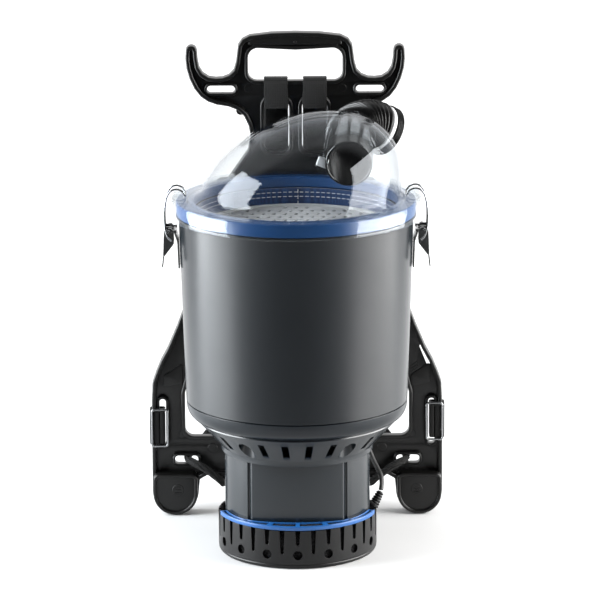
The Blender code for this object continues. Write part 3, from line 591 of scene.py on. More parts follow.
def softbox(name, azimuth, width, distance, radiance, color):
    """A tall panel of light, aimed at the object. Azimuth 0 is its front and 90 its right."""
    light = bpy.data.lights.new(name, "AREA")
    light.shape = "RECTANGLE"
    light.size = width
    light.size_y = PANEL_HEIGHT
    light.color = color
    light.energy = radiance * math.pi * width * PANEL_HEIGHT
    obj = link(name, light)
    a = math.radians(azimuth)
    place = Vector((math.sin(a) * distance, -math.cos(a) * distance, PANEL_Z))
    aim = Vector((-place.x, -place.y, 0))
    obj.location = place
    obj.rotation_euler = aim.to_track_quat("-Z", "Y").to_euler()


def make_floor():
    """A pale floor that turns greyer in front of the object, out of the photo's view."""
    bm = bmesh.new()
    bmesh.ops.create_grid(bm, x_segments=4, y_segments=4, size=FLOOR_HALF)
    floor = link("floor", written(bm))
    made = shader("floor_white", FLOOR_LIGHT, 0.7)
    y = made.along_y("Object")
    made.feed(
        made.end,
        Base_Color=made.tint(made.spread(y, 0.0, 1.0, *FLOOR_FADE), FLOOR_DARK, FLOOR_LIGHT),
        Emission_Color=(1.0, 1.0, 1.0, 1.0),
        Emission_Strength=made.spread(y, 0.0, 0.9, *GLOW_FADE),
    )
    made.bump(made.noise(made.places(), 300.0), 0.00005, 0.3)
    floor.data.materials.append(made.owner)


def make_world():
    """A white surround behind the object and a darker one in front of it."""
    world = bpy.data.worlds.new("studio")
    bpy.context.scene.world = world
    made = Tree(world, "Background")
    front = made.spread(made.along_y("Generated"), 0.0, 1.0, -0.35, 0.3)
    made.feed(made.end, Color=made.tint(front, (0.12, 0.122, 0.125), (1.0, 1.0, 1.0)), Strength=1.3)


make_camera()
make_world()
make_floor()
softbox("softbox_left", -86.0, 0.7, 0.8, 21.0, (0.93, 0.97, 1.0))
softbox("softbox_right", 84.0, 0.95, 0.85, 15.5, (1.0, 0.995, 0.985))
bpy.context.scene.view_settings.view_transform = "Standard"

# ---- exhaust base


def exhaust_cage():
    wall = 2.8
    profile = [
        (0, 3), (CAGE_R - wall - 2.5, 3), (CAGE_R - wall, 5.5), (CAGE_R - wall, CAGE_TOP - 0.4),
        (CAGE_R - wall + 0.4, CAGE_TOP), (CAGE_R - 0.5, CAGE_TOP), (CAGE_R, CAGE_TOP - 0.5),
        (CAGE_R, 5.6), (CAGE_R - 0.5, 4.9), (CAGE_R - 0.7, 4.3), (CAGE_R - 0.3, 3.6),
        (CAGE_R - 0.4, 2.8), (CAGE_R - 1.2, 1.2), (CAGE_R - 2.2, 0.3), (CAGE_R - 3.4, 0), (0, 0)
    ]
    shape = turned(profile)
    long_slot = [(2.7, CAGE_TOP + 2), *arc((0, 17.1), 1.6, 0, -180, 8), (-2.7, CAGE_TOP + 2)]
    short_slot = [(2.7, CAGE_TOP + 2), *arc((0, 26.2), 1.8, 0, -180, 8), (-2.7, CAGE_TOP + 2)]
    cutters = []
    for i in range(32):
        spin = turn(i * CAGE_PITCH, "Z")
        slot = short_slot if i % 2 == 0 else long_slot
        cutters.append(moved(upright([slot], 12, -CAGE_R), spin))
        if i % 2 == 0:
            hole = rod(4.75, (0, -CAGE_R - 6, 14.5), (0, -CAGE_R + 6, 14.5), 28)
            cutters.append(moved(hole, spin))
    show("cage", cut(shape, *cutters), CAGE_MAT, "cage_plastic", "exhaust_cage")


def housing_outline(offset, ribs=False, fine=1):
    """The motor housing seen from above: round, with a flatter panel at the front."""
    radius = HOUSING_R + offset
    edge = HOUSING_RIB_X
    edge_y = math.sqrt(HOUSING_R**2 - edge**2)
    rise = HOUSING_FRONT - edge_y
    bow = (edge**2 + rise**2) / (2 * rise)
    spread_angle = math.degrees(math.asin(edge / bow))
    side = math.degrees(math.atan2(-edge_y, edge))
    half = arc((0, bow - HOUSING_FRONT), bow + offset, -90, -90 + spread_angle * 0.93, 6 * fine)
    if ribs:
        rib = (46.2, -0.3), (46.9, 1.0), (47.6, 2.4), (48.5, 2.3), (49.2, 1.6), (50.2, 1.9)
        half += [(x, -edge_y + dy) for x, dy in (*rib, (51.4, 3.2))]
    half += arc((0, 0), radius, side + 5.0, 90, 16 * fine)
    return mirrored(half)


def motor_housing():
    low, high = 12.0, 111.0
    walls = [housing_outline(0, True, 4), housing_outline(-2.6, False, 4)]
    shell = level(walls, high - low, (high + low) / 2)
    windows = [box((22, 30, 18), (x, -HOUSING_FRONT, 26)) for x in (-28, 0, 28)]
    shell = cut(shell, *windows)
    show("housing", shell, HOUSING_MAT, "housing_plastic", "motor_housing", degrees=25)


def edge_point(outline, degrees):
    """Where a ray at this angle meets the outline."""
    ray = Vector((math.cos(math.radians(degrees)), math.sin(math.radians(degrees))))
    best = None
    for a, b in zip(outline, outline[1:] + outline[:1]):
        a = Vector(a)
        along = Vector(b) - a
        cross = ray.x * along.y - ray.y * along.x
        if abs(cross) < 1e-9:
            continue
        distance = (a.x * along.y - a.y * along.x) / cross
        t = (a.x * ray.y - a.y * ray.x) / cross
        if distance > 0 and -1e-6 <= t <= 1 + 1e-6:
            best = ray * distance
    return tuple(best)


def polar_outline(inner, outer_radius, start, end, count):
    """An outline between the housing's outline and a circle, over these angles."""
    outer = arc((0, 0), outer_radius, start, end, count)
    back = []
    for i in range(count + 1):
        back.append(edge_point(inner, end + (start - end) * i / count))
    return outer + back


def exhaust_filter():
    """The blue frame of six cells, with a block of open foam that stands up into each cell."""
    inner = housing_outline(0.6, fine=2)
    border = 1.7
    start, end = 270 - 74, 270 + 74
    bars = (start, 270 - 45, 270 - 22, 270, 270 + 22, 270 + 45, end)
    cell_inner = housing_outline(0.6 + border, fine=2)
    loops = [polar_outline(inner, CAGE_R + 0.6, start, end, 72)]
    cells = []
    for a, b in zip(bars, bars[1:]):
        cell = polar_outline(cell_inner, CAGE_R + 0.6 - border * 1.5, a + 1.6, b - 1.6, 14)
        loops.append(cell)
        cells.append(cell)
    ring = level(loops, 4.2, CAGE_TOP + 0.3 + 2.1, 0.45)
    show("filter_frame", ring, BLUE_MAT, "blue_plastic", "exhaust_filter_frame")
    block = polar_outline(inner, CAGE_R - 3.3, 270 - 73, 270 + 73, 48)
    foam = [level([block], 34, 22.5)]
    for cell in cells:
        foam.append(rough_block(inset(cell, 0.2), 39.0, 43.3))
    show("filter_foam", merged(foam), FOAM_MAT, "foam", "exhaust_foam", degrees=180)


def rough_block(outline, low, high):
    """A foam block whose top is broken up by open cells."""
    mesh = level([outline], high - low, (low + high) / 2)
    bm = bmesh.new()
    bm.from_mesh(mesh)
    bmesh.ops.triangulate(bm, faces=bm.faces)
    for _ in range(5):
        on_top = [e for e in bm.edges if min(v.co.z for v in e.verts) > (high - 0.1) * MM]
        long_edges = [e for e in on_top if e.calc_length() > 1.6 * MM]
        if not long_edges:
            break
        bmesh.ops.subdivide_edges(bm, edges=long_edges, cuts=1)
        bmesh.ops.triangulate(bm, faces=bm.faces)
    for vertex in bm.verts:
        if vertex.co.z > (high - 0.1) * MM:
            vertex.co.z += (noise.noise(vertex.co / MM * 0.9) * 0.7 - 0.2) * MM
    return written(bm, mesh)


# ---- body


def vent_shroud():
    top, wall = 138.6, 2.4
    foot = HOUSING_R + 0.9
    profile = [
        (foot, 104.8), (foot, 111.6), (97.6, top - wall), (94.0, top - wall), (94.0, top),
        (99.4, top), (100.2, top - 0.3), (100.6, top - 1.6), (foot + 2.9, 110.8),
        (foot + 2.6, 110.0), (foot + 2.6, 105.4), (foot + 2.2, 104.8)
    ]
    shell = turned(profile)
    envelope = [
        (0, top - 0.4), (100.0, top - 0.4), (100.4, top - 1.7), (foot + 2.4, 110.4),
        (foot + 2.4, 106.0), (0, 106.0)
    ]
    hollow = rod(HOUSING_R + 0.9, (0, 0, 100), (0, 0, 120), ROUND)
    wells = []
    for angle in POCKET_ANGLES:
        spin = turn(angle, "Z")
        post = moved(rod(POCKET_R + 1.8, (0, -POCKET_AT, 100), (0, -POCKET_AT, top + 4), 40), spin)
        post = combine(post, turned(envelope), "INTERSECT")
        shell = combine(shell, combine(post, hollow.copy(), "DIFFERENCE"), "UNION")
        wells.append(moved(rod(POCKET_R, (0, -POCKET_AT, 96), (0, -POCKET_AT, 133.5), 40), spin))
    slots = []
    slope = math.degrees(math.atan2(top - 1.6 - 110.4, 100.6 - foot - 2.6))
    for i in range(24):
        angle = (i + 0.5) * VENT_PITCH
        if min(abs((angle - p + 180) % 360 - 180) for p in POCKET_ANGLES) < 10:
            continue
        slot = moved(plate([rectangle(-3.25, -8, 3.25, 8, 0.8, 3)], 20), STAND_UP)
        slots.append(moved(slot, turn(-slope, "X"), shift(0, -87.4, 124), turn(angle, "Z")))
    shape = cut(cut(shell, *wells), *slots)
    show("vent_cone", shape, HOUSING_MAT, "housing_plastic", "vent_shroud")


def lower_bowl():
    foot = CANISTER_FOOT_R
    outer = [
        (foot, SEAM_Z - 0.5), (foot - 0.2, 153.0), (foot - 0.7, 149.4), (foot - 1.7, 146.4),
        (foot - 3.2, 143.8), (foot - 5.2, 141.6), (foot - 7.6, 140.0), (101.0, 139.0)
    ]
    inner = [
        (95.0, 139.0), (95.0, 141.8), (105.4, 145.6), (107.0, 150.0), (30.0, 150.0), (30.0, 152.6),
        (105.8, 152.6), (105.8, 162.0), (108.2, 162.0), (108.2, SEAM_Z - 0.3),
        (foot - 0.3, SEAM_Z - 0.2)
    ]
    show("bowl", turned(outer + inner), BOWL_MAT, "body_plastic", "lower_bowl")


def canister_shell():
    profile = [
        (CANISTER_FOOT_R - 0.4, SEAM_Z + 0.4), (CANISTER_FOOT_R - 2.2, SEAM_Z + 0.4),
        (CANISTER_TOP_R - 2.4, 343.0), (CANISTER_TOP_R - 2.4, CANISTER_TOP),
        (RING_R + 0.1, CANISTER_TOP), (RING_R + 0.5, CANISTER_TOP - 0.4),
        (RING_R + 0.5, CANISTER_TOP - 1.7), (RING_R + 0.1, CANISTER_TOP - 2.2),
        (CANISTER_TOP_R + 0.3, CANISTER_TOP - 2.6), (CANISTER_TOP_R, CANISTER_TOP - 3.4),
        (CANISTER_FOOT_R + 0.1, SEAM_Z + 1.0)
    ]
    show("canister", turned(profile), BODY_MAT, "body_plastic", "canister_shell")


def bag_ring():
    profile = [
        (RING_R - 0.8, RING_TOP), (RING_R, RING_TOP - 0.8), (RING_R, CANISTER_TOP + 0.8),
        (RING_R - 0.4, CANISTER_TOP + 0.4), (112.5, CANISTER_TOP + 0.4), (112.5, 350.6),
        (102.0, 350.6), (101.6, 351.2), (101.6, RING_TOP - 0.6), (102.2, RING_TOP),
        (105.0, RING_TOP), (105.6, RING_TOP - 0.8), (108.4, RING_TOP - 0.8), (109.0, RING_TOP)
    ]
    show("blue_ring", turned(profile), RING_MAT, "blue_plastic", "bag_ring")


def crumple(x, y, z, size):
    return noise.noise(Vector((x, y, z)) / size)


def filter_bag():
    """The cloth bag: a cup with soft folds that fade at its hem, and rows of white stitches."""
    rows, around = 48, 144
    low, high = 186.0, 350.2
    outside, inside = 100.4, 99.0
    rings = []
    for base, order in ((outside, range(rows + 1)), (inside, range(rows, -1, -1))):
        for i in order:
            share = i / rows
            z = low + (high - low) * share
            foot = 4.0 * max(0.0, 1 - share * 12)
            ring = []
            for k in range(around):
                a = 2 * math.pi * k / around
                x, y = math.cos(a), math.sin(a)
                sway = 1.3 * crumple(x * 100, y * 100, z * 0.5, 26) * (1 - share**3)
                pleat = 0.45 * math.sin(a * 36) * max(0.0, 1 - abs(share - 0.97) * 12)
                r = base - foot + sway + pleat * (1 - share)
                ring.append((r * x * MM, r * y * MM, z * MM))
            rings.append(ring)
    show("cloth_bag", skin(rings, False), CLOTH_MAT, "bag_cloth", "filter_bag", degrees=60)
    stitches = []
    count, radius = 110, 98.3
    half = math.pi / count * 0.62
    for height in (346.0, 341.5):
        for k in range(count):
            a = 2 * math.pi * (k + 0.5) / count
            ends = [(*polar(radius, a + s * half), height) for s in (-1, 0, 1)]
            stitches.append(tube(ends, 0.32, 1))
    for k in range(26):
        z = 190 + k * 6.2
        stitches.append(tube([(2.0, 98.2, z), (2.2, 98.2, z + 4.2)], 0.32, 1))
    show("bag_stitches", merged(stitches), THREAD_MAT, "bag_cloth")


def perforated_disc():
    """A flat grey disc with staggered oval holes."""
    radius, floor, thickness = 97.0, 330.0, 2.2
    pitch, row_pitch = 11.0, 14.5
    loops = [arc((0, 0), radius, 0, 357, 119)]
    tilt = Matrix.Rotation(math.radians(-12), 2)
    for row in range(-10, 11):
        for column in range(-10, 11):
            x = (column + 0.5 * (row % 2)) * pitch
            y = row * row_pitch
            if math.hypot(x, y) > radius - 9:
                continue
            hole = []
            for px, py in arc((0, 0), 1.0, 0, 330, 11):
                hole.append(tuple(Vector((x, y)) + tilt @ Vector((px * 2.2, py * 4.2))))
            loops.append(hole)
    disc = level(loops, thickness, floor + thickness / 2, 0.3, 1)
    rim = [(0, 334.5), (0, floor), (-2.4, floor), (-2.4, 333.9), (-1.8, 334.5)]
    rim = [(radius + dx, z) for dx, z in rim]
    show("disc", merged([disc, turned(rim)]), DISC_MAT, "grey_plastic", "perforated_disc")


# ---- lid and hose


def dome_curve(radius, height, count):
    points = []
    for i in range(count + 1):
        angle = math.radians(86.0 * i / count)
        points.append((radius * math.sin(angle), LID_Z + height * math.cos(angle)))
    return points


def lean_dome(mesh):
    """Leans the dome to the right and forward, more towards its top."""
    for vertex in mesh.vertices:
        share = (vertex.co.z / MM - LID_Z) / DOME_HEIGHT
        if share > 0.001:
            vertex.co.x += (DOME_LEAN[0] + DOME_LEAN[1] * share**1.25) * MM
            vertex.co.y += DOME_LEAN[2] * share * MM
    return mesh


def inlet_point(distance):
    return INLET_FROM + INLET_AXIS * distance


def lid():
    outer = dome_curve(DOME_R, DOME_HEIGHT, 26)
    inner = dome_curve(DOME_R - LID_WALL, DOME_HEIGHT - LID_WALL, 26)
    rim = [
        (101.4, LID_Z + 3.4), (103.2, LID_Z + 1.2), (105.5, LID_Z + 0.2), (108.0, LID_Z),
        (LID_R - 2.2, LID_Z), (LID_R - 0.8, LID_Z - 0.5), (LID_R, LID_Z - 1.6), (LID_R, 346.0),
        (LID_R - 0.6, 345.0), (LID_R - 2.2, 345.0), (LID_R - 2.6, 345.6),
        (LID_R - 2.6, LID_Z - 3.6), (LID_R - 3.6, LID_Z - 2.8), (103.0, LID_Z - 2.8)
    ]
    shell = lean_dome(turned(outer + rim + inner[::-1], 128))
    spout = rod(INLET_R + 2.4, inlet_point(22), inlet_point(INLET_END), 64)
    bore = rod(INLET_R, inlet_point(-4), inlet_point(INLET_END + 3), 64)
    seat = rod(HOSE_R + 1.0, inlet_point(INLET_END - 0.6), inlet_point(INLET_END + 40), 64)
    shell = cut(cut(combine(shell, spout, "UNION"), bore), seat)
    outline = filleted(((-6, 0, 0), (6, 0, 0), (6, 3.6, 1.6), (0, 5.1, 3), (-6, 3.6, 1.6)), 4)
    ears = []
    for side in (-1, 1):
        for y in (-12.9, 12.9):
            ear = moved(plate([outline], 2.6, 0.4), STAND_UP, shift(side * 117.5, y, LID_Z - 0.1))
            ears.append(ear)
    show("dome_lid", merged([shell, *ears]), CLEAR_MAT, "clear_plastic", "lid", degrees=38)


def ring_profile_pipe(outer, inner, start, end, sides=72, lip=0.8):
    """A straight pipe with softened ends."""
    length = (Vector(end) - Vector(start)).length
    profile = [
        (inner, lip), (inner + lip, 0), (outer - lip, 0), (outer, lip), (outer, length - lip),
        (outer - lip, length), (inner + lip, length), (inner, length - lip)
    ]
    return aimed(turned(profile, sides), start, end, start)


def hose_cuff():
    """The black cuff inside the dome, with a small grey lug at its mouth."""
    start, end = inlet_point(0), inlet_point(INLET_END - 0.2)
    pipe = ring_profile_pipe(INLET_R - 0.6, INLET_R - 3.2, start, end)
    show("inner_cuff", pipe, HOSE_MAT, "hose_plastic", "hose_cuff", body=HOSE_BODY)
    lug = plate([rectangle(-5.5, -2.8, 5.5, 2.8, 1.2)], 9, 0.6)
    lug = moved(lug, turn(20, "Y"), shift(26.5, -8.5, 399.0))
    show("cuff_lug", lug, GREY_MAT, "grey_plastic", body=HOSE_BODY)


def hose_place(t):
    """A point and a direction at a share of the hose's bend."""
    start = inlet_point(INLET_END + 0.4)
    leaving = start + INLET_AXIS * HOSE_HANDLE
    arriving = HOSE_END - HOSE_END_AXIS * HOSE_HANDLE
    u = 1 - t
    place = start * u**3 + leaving * 3 * u * u * t + arriving * 3 * u * t * t + HOSE_END * t**3
    run = (leaving - start) * u * u + (arriving - leaving) * 2 * u * t
    run += (HOSE_END - arriving) * t * t
    return place, run.normalized()


def loft_pipe(frames, outer_radii, inner_radius, sides=72):
    """A hollow pipe through the frames, each a centre and a direction."""
    stations = list(zip(frames, outer_radii))
    stations += [(f, inner_radius) for f in reversed(frames)]
    rings = []
    for (center, direction), radius in stations:
        across = direction.cross(Vector((0, 0, 1))).normalized()
        up = across.cross(direction)
        ring = []
        for k in range(sides):
            angle = 2 * math.pi * k / sides
            place = center + (across * math.cos(angle) + up * math.sin(angle)) * radius
            ring.append(place * MM)
        rings.append(ring)
    return skin(rings, True)


def corrugated(share):
    """How far a rib stands out, from 0 in the groove to 1 on its crest."""
    return (0.5 - 0.5 * math.cos(2 * math.pi * share)) ** 0.7


def hose():
    ribs, fine = 15, 8
    steps = ribs * fine
    frames = [hose_place(i / steps) for i in range(steps + 1)]
    radii = [HOSE_R - 2.4 + 2.4 * corrugated(i / fine) for i in range(steps + 1)]
    pipe = loft_pipe(frames, radii, HOSE_R - 4.5)
    show("ribbed_hose", pipe, HOSE_MAT, "hose_plastic", "hose", body=HOSE_BODY, degrees=80)
    first = HOSE_END + HOSE_END_AXIS * 0.4
    collar = ring_profile_pipe(HOSE_R - 1.0, HOSE_R - 4.5, first, first + HOSE_END_AXIS * 5.0)
    show("hose_band", collar, GREY_MAT, "grey_plastic", "hose_collar", body=HOSE_BODY)
    begin = first + HOSE_END_AXIS * 5.4
    steps = 4 * fine
    frames = [(begin + HOSE_END_AXIS * 8.0 * i / steps, HOSE_END_AXIS) for i in range(steps + 1)]
    radii = [HOSE_R - 1.0 + 1.6 * corrugated(i / fine) for i in range(steps + 1)]
    cuff = loft_pipe(frames, radii, HOSE_R - 5.0)
    show("end_cuff", cuff, HOSE_MAT, "hose_plastic", "hose_end_cuff", body=HOSE_BODY, degrees=80)


# ---- latches


def bails():
    """The bent wire of each latch, from the lever's pivots over the lid's edge."""
    bx, bz = LATCH_BAIL
    run = [
        (bx, 5.6, bz), (bx, 9.3, bz), (127.8, 9.5, 324.2), (130.3, 9.5, 333), (130.8, 9.5, 345),
        (130.0, 9.5, 356), (127.6, 9.5, 366), (123.4, 9.5, 371.2), (118.6, 9.5, 372.6),
        (113.6, 9.5, 371.0), (110.6, 9.5, 367.6), (109.8, 8.6, 366.0)
    ]
    across = [(109.7, 4.0, 365.9), (109.7, 0.0, 365.9)]
    half = run + across
    back = [(x, -y, z) for x, y, z in reversed(half[:-1])]
    wire = tube(smooth_route(half + back, 150), 0.9, 4)
    for side, suffix, word in ((-1, "L", "left"), (1, "R", "right")):
        place = Matrix.Identity(4) if side > 0 else turn(180.0, "Z")
        show(
            "bail_wire_" + suffix, moved(wire, place), STEEL_MAT, "steel", "latch_bail_" + suffix,
            body="latch_bail_" + word, degrees=60
        )


# ---- back plate


def plate_half():
    """The right half of the back plate's outline, clockwise from the grip's top."""
    return [
        (0, 506.6), (24, 506.0), (46, 503.4), (54, 499.4), (58, 493.4), (60.2, 476), (62.6, 467.6),
        (67.4, 462.6), (74, 460.0), (81, 459.6), (88, 460.6), (94, 464.6), (97.8, 471), (99.4, 480),
        (99.8, 487.6), *arc((105.6, 487.4), 5.8, 150, 20, 6), (111.6, 480), (110.6, 470),
        (107.4, 459), (102.6, 449), (96.4, 441), (89, 435.8), (80, 432.6), (68, 430.6),
        (59.6, 427.2), (52.4, 420.6), (48, 411), (46, 400), (48.6, 385), (69.5, 355), (96, 275),
        (123.0, 201), (133.2, 177), (140.4, 163.6), (146.0, 150), (149.6, 139.5), (150.4, 120),
        (150.6, 60), *arc((126.6, 24.0), 24.0, 0, -180, 20), (101.4, 36), (94, 40.4), (60, 38.6),
        (0, 38)
    ]


def plate_windows():
    """Each through opening of the plate, with the width of the raised rim round it."""
    grip = filleted(
        (
            (-48, 456.6, 9), (48, 456.6, 9), (48, 491, 10), (20, 489.4, 0), (0, 488.4, 0),
            (-20, 489.4, 0), (-48, 491, 10)
        )
    )
    behind = filleted(
        (
            (-116, 82, 9), (116, 82, 9), (116, 128, 12), (97, 200, 30), (58, 296, 9), (-58, 296, 9),
            (-97, 200, 30), (-116, 128, 12)
        )
    )
    found = [(grip, 3.6), (behind, 4.0)]
    slant = rectangle(-1.8, -11.5, 1.8, 11.5, 1.7)
    tilt = Matrix.Rotation(math.radians(22), 2)
    slant = [tuple(tilt @ Vector(p) + Vector((132.4, 167.0))) for p in slant]
    right = [
        (rectangle(61.5, 443.8, 90, 451.7, 3.8), 2.8), (rectangle(6.6, 382, 32, 437.5, 8), 4.0),
        (rectangle(103, 52.2, 127, 61, 3.5), 2.6), (rectangle(136.0, 73, 142.6, 122, 3.2), 2.8)
    ]
    for outline, rim in right:
        found.append((outline, rim))
        found.append((swapped(outline), rim))
    found.append((slant, 0))
    return found


def mould_mark(x, z, radius, y=PANEL_FRONT):
    """The faint raised disc that an ejector pin leaves."""
    disc = turned([(0, 0.35), (radius - 0.3, 0.35), (radius, 0), (0, 0)], 32)
    return moved(disc, STAND_UP, shift(x, y, z))


def back_plate():
    outline = mirrored(plate_half())
    windows = plate_windows()
    depth = PANEL_BACK - PANEL_FRONT
    holes = [inset(w, -rim / 2) for w, rim in windows]
    pieces = [upright([inset(outline, 1.6), *holes], depth, (PANEL_FRONT + PANEL_BACK) / 2, 0.4)]
    edge = [outline, inset(outline, 4.2)]
    pieces.append(upright(edge, PLATE_BACK - PLATE_FRONT, (PLATE_FRONT + PLATE_BACK) / 2, 1.3, 3))
    for window, rim in windows:
        if rim:
            pieces.append(upright([inset(window, -rim), window], 11.0, PANEL_BACK - 3.6, 1.2, 3))
    for side in (-1, 1):
        toe = filleted(((103.7, 0.7, 22.6), (149.9, 0.7, 22.6), (149.5, 44, 6), (103.7, 44, 6)), 10)
        toe = toe if side > 0 else swapped(toe)
        wall = [toe, inset(toe, 3.4)]
        pieces.append(upright(wall, PANEL_BACK - FOOT_FRONT, (PANEL_BACK + FOOT_FRONT) / 2, 1.2, 3))
        pieces.append(upright([inset(toe, 2.1)], 17.0, FOOT_FRONT + 11.0, 0.8))
        pieces.append(mould_mark(side * 124, 27, 6.0, FOOT_FRONT + 2.5))
        for k in range(3):
            pieces.append(box((7 - k, 0.8, 0.7), (side * 124, FOOT_FRONT + 2.0, 24 + k * 3.0)))
        for x, z, radius in (
            (88, 68, 5), (119, 83, 4), (124, 152, 3.5), (56, 425, 4.5), (48, 448, 4.0), (74, 441, 3)
        ):
            pieces.append(mould_mark(side * x, z, radius))
        slope = (118, 138) if side > 0 else (-138, -118)
        shelf = filleted(
            ((slope[0], 134, 2), (slope[1], 138, 2), (slope[1], 160, 2), (slope[0], 146, 2)), 3
        )
        pieces.append(upright([shelf], 1.4, PANEL_FRONT - 0.4, 0.5))
    for k in range(3):
        rib = box((9, 1.2, 1.0), (0, 0, 0))
        pieces.append(moved(rib, turn(-32, "Y"), shift(121, PANEL_FRONT - 0.3, 157 - k * 3.2)))
    pieces.append(mould_mark(0, 497, 1.6, PLATE_FRONT))
    grip = filleted(
        ((-50, 492.6, 3), (50, 492.6, 3), (46, 503, 4), (0, 505.6, 20), (-46, 503, 4)), 5
    )
    pieces.append(upright([grip], 9.0, PANEL_BACK - 4.6, 3.0, 4))
    show("moulded_plate", merged(pieces), PLATE_MAT, "plate_plastic", "back_plate", degrees=35)


# ---- harness


def ribbon(route, width_axis, width, thickness, waves=0.0):
    """A flat strap along a route: its width lies along width_axis, and its edges are rounded."""
    rings = []
    across = Vector(width_axis).normalized()
    last = len(route) - 1
    section = rectangle(-width / 2, -thickness / 2, width / 2, thickness / 2, thickness * 0.45, 3)
    for i, place in enumerate(route):
        along = (Vector(route[min(i + 1, last)]) - Vector(route[max(i - 1, 0)])).normalized()
        side = (across - along * across.dot(along)).normalized()
        face = along.cross(side)
        swell = 1 + waves * noise.noise(Vector((i * 0.31, 3.1, 0.7)))
        rings.append([(Vector(place) + side * u * swell + face * v) * MM for u, v in section])
    return skin(rings, False)


def top_loops():
    """25 mm webbing folded over the bar under the grip, its ends sewn at the foot of the window."""
    front, back = PANEL_FRONT - 7.0, PANEL_BACK + 7.0
    for side, suffix in SIDES:
        x = side * 19.3
        lean = 0.6 * side
        route = [
            (x, front, 428.4), (x + lean * 0.3, front - 0.3, 438), (x + lean, front - 0.2, 448),
            (x + lean, front + 0.4, 455), (x + lean, front + 3.0, 458.2),
            (x + lean, (front + back) / 2, 458.6), (x + lean, back - 3.0, 458.2),
            (x + lean, back - 0.4, 455), (x, back, 446), (x, back + 0.2, 430), (x, back + 0.6, 404),
            (x, back + 0.6, 379)
        ]
        band = ribbon(smooth_route(route, 60), (1, 0, 0), 24.0, 1.6, 0.05)
        seams = []
        for z in (431.0, 433.6):
            for k in range(9):
                u = x - 9.6 + k * 2.4
                seams.append(tube([(u, front - 0.95, z), (u + 1.5, front - 0.95, z)], 0.22, 1))
        show(
            "top_loop_" + suffix, merged([band, *seams]), WEB_MAT, "webbing",
            "top_strap_loop_" + suffix, degrees=50
        )


def belt_loops():
    """Webbing folded round the plate's edge, with a fold line down its front."""
    for side, suffix in SIDES:
        middle = BELT_LOOP_Z[suffix]
        outer = rectangle(137.0, PLATE_FRONT - 2.4, 152.8, PLATE_BACK + 2.4, 3.0)
        inner = rectangle(138.8, PLATE_FRONT - 0.6, 151.0, PLATE_BACK + 0.6, 1.6)
        if side < 0:
            outer, inner = swapped(outer), swapped(inner)
        bands = [level([outer, inner], BELT_LOOP_HEIGHT, middle, 0.5)]
        for x, wide in ((139.6, 4.0), (146.4, 7.2)):
            tall = BELT_LOOP_HEIGHT / 2 - 1
            fold = plate([rectangle(-wide / 2, -tall, wide / 2, tall, 1.2)], 1.6, 0.7, 3)
            bands.append(moved(fold, STAND_UP, shift(side * x, PLATE_FRONT - 2.9, middle)))
        show("belt_band_" + suffix, merged(bands), WEB_MAT, "webbing", "belt_loop_" + suffix)


def belt_rings():
    reach = BELT_LOOP_HEIGHT / 2 + 2.6
    for side, suffix in SIDES:
        outer = rectangle(133.0, -reach, 151.4, reach, 3.4)
        inner = rectangle(135.2, 2.2 - reach, 149.2, reach - 2.2, 1.6)
        loops = [outer, inner] if side > 0 else [swapped(outer), swapped(inner)]
        place = shift(0, PLATE_FRONT - 4.2, BELT_LOOP_Z[suffix])
        ring = moved(plate(loops, 2.0, 0.7, 4), STAND_UP, place)
        show("belt_glide_" + suffix, ring, STEEL_MAT, "steel", "belt_ring_" + suffix)


LOWER_STRAP = [
    (44.0, 168.0, 130.6), (58.0, 168.6, 114.0), (82.0, 160.0, 90.0), (104.0, 144.0, 66.0),
    (113.0, 136.0, 58.0), (113.5, 127.0, 56.6), (110.0, 118.6, 56.0), (103.0, 114.4, 53.6),
    (95.5, 113.4, 49.0), (88.0, 113.4, 43.6), (81.5, 114.6, 38.0), (77.5, 118.6, 32.6),
    (76.0, 126.0, 30.6), (77.0, 134.6, 33.6), (78.0, 139.0, 41.0)
]


def lower_straps():
    """Bunched webbing: folded strips that twist round each other along the strap's route."""
    for side, suffix in SIDES:
        route = smooth_route([(side * x, y, z) for x, y, z in LOWER_STRAP], 150)
        strips = []
        for strip in range(5):
            path = []
            for i, place in enumerate(route):
                along = (route[min(i + 1, 150)] - route[max(i - 1, 0)]).normalized()
                one = along.cross(Vector((0.2, 0.3, 1))).normalized()
                two = along.cross(one)
                angle = 2 * math.pi * strip / 5 + i * 0.055 + 0.5 * crumple(i, strip * 9, 0, 17)
                away = 2.1 + 0.5 * crumple(i, 5, strip * 7, 13)
                path.append(place + one * math.cos(angle) * away + two * math.sin(angle) * away)
            strips.append(tube(path, 1.75, 3))
        show(
            "lower_webbing_" + suffix, merged(strips), WEB_MAT, "webbing", "lower_strap_" + suffix,
            degrees=80
        )


PRESSURE = 4.0
LAST_FRAME = 20


def puffed(mesh, voxel, cap):
    """Cloth simulation: the closed shape swells, and no point moves further than the cap."""
    base = modified(mesh, "REMESH", mode="VOXEL", voxel_size=voxel * MM)
    rest = [v.co.copy() for v in base.vertices]
    obj = link("puff", base)
    cloth = obj.modifiers.new("cloth", "CLOTH")
    cloth.settings.use_pressure = True
    cloth.settings.uniform_pressure_force = PRESSURE
    cloth.settings.effector_weights.gravity = 0.0
    cloth.settings.quality = 5
    cloth.point_cache.frame_end = LAST_FRAME
    for number in range(1, LAST_FRAME + 1):
        bpy.context.scene.frame_set(number)
    puff = evaluated(obj)
    bpy.context.scene.frame_set(1)
    for vertex, start in zip(puff.vertices, rest):
        step = vertex.co - start
        if step.length > cap * MM:
            vertex.co = start + step.normalized() * cap * MM
    return puff


def subdivided(mesh):
    return modified(mesh, "SUBSURF", levels=1, render_levels=1)


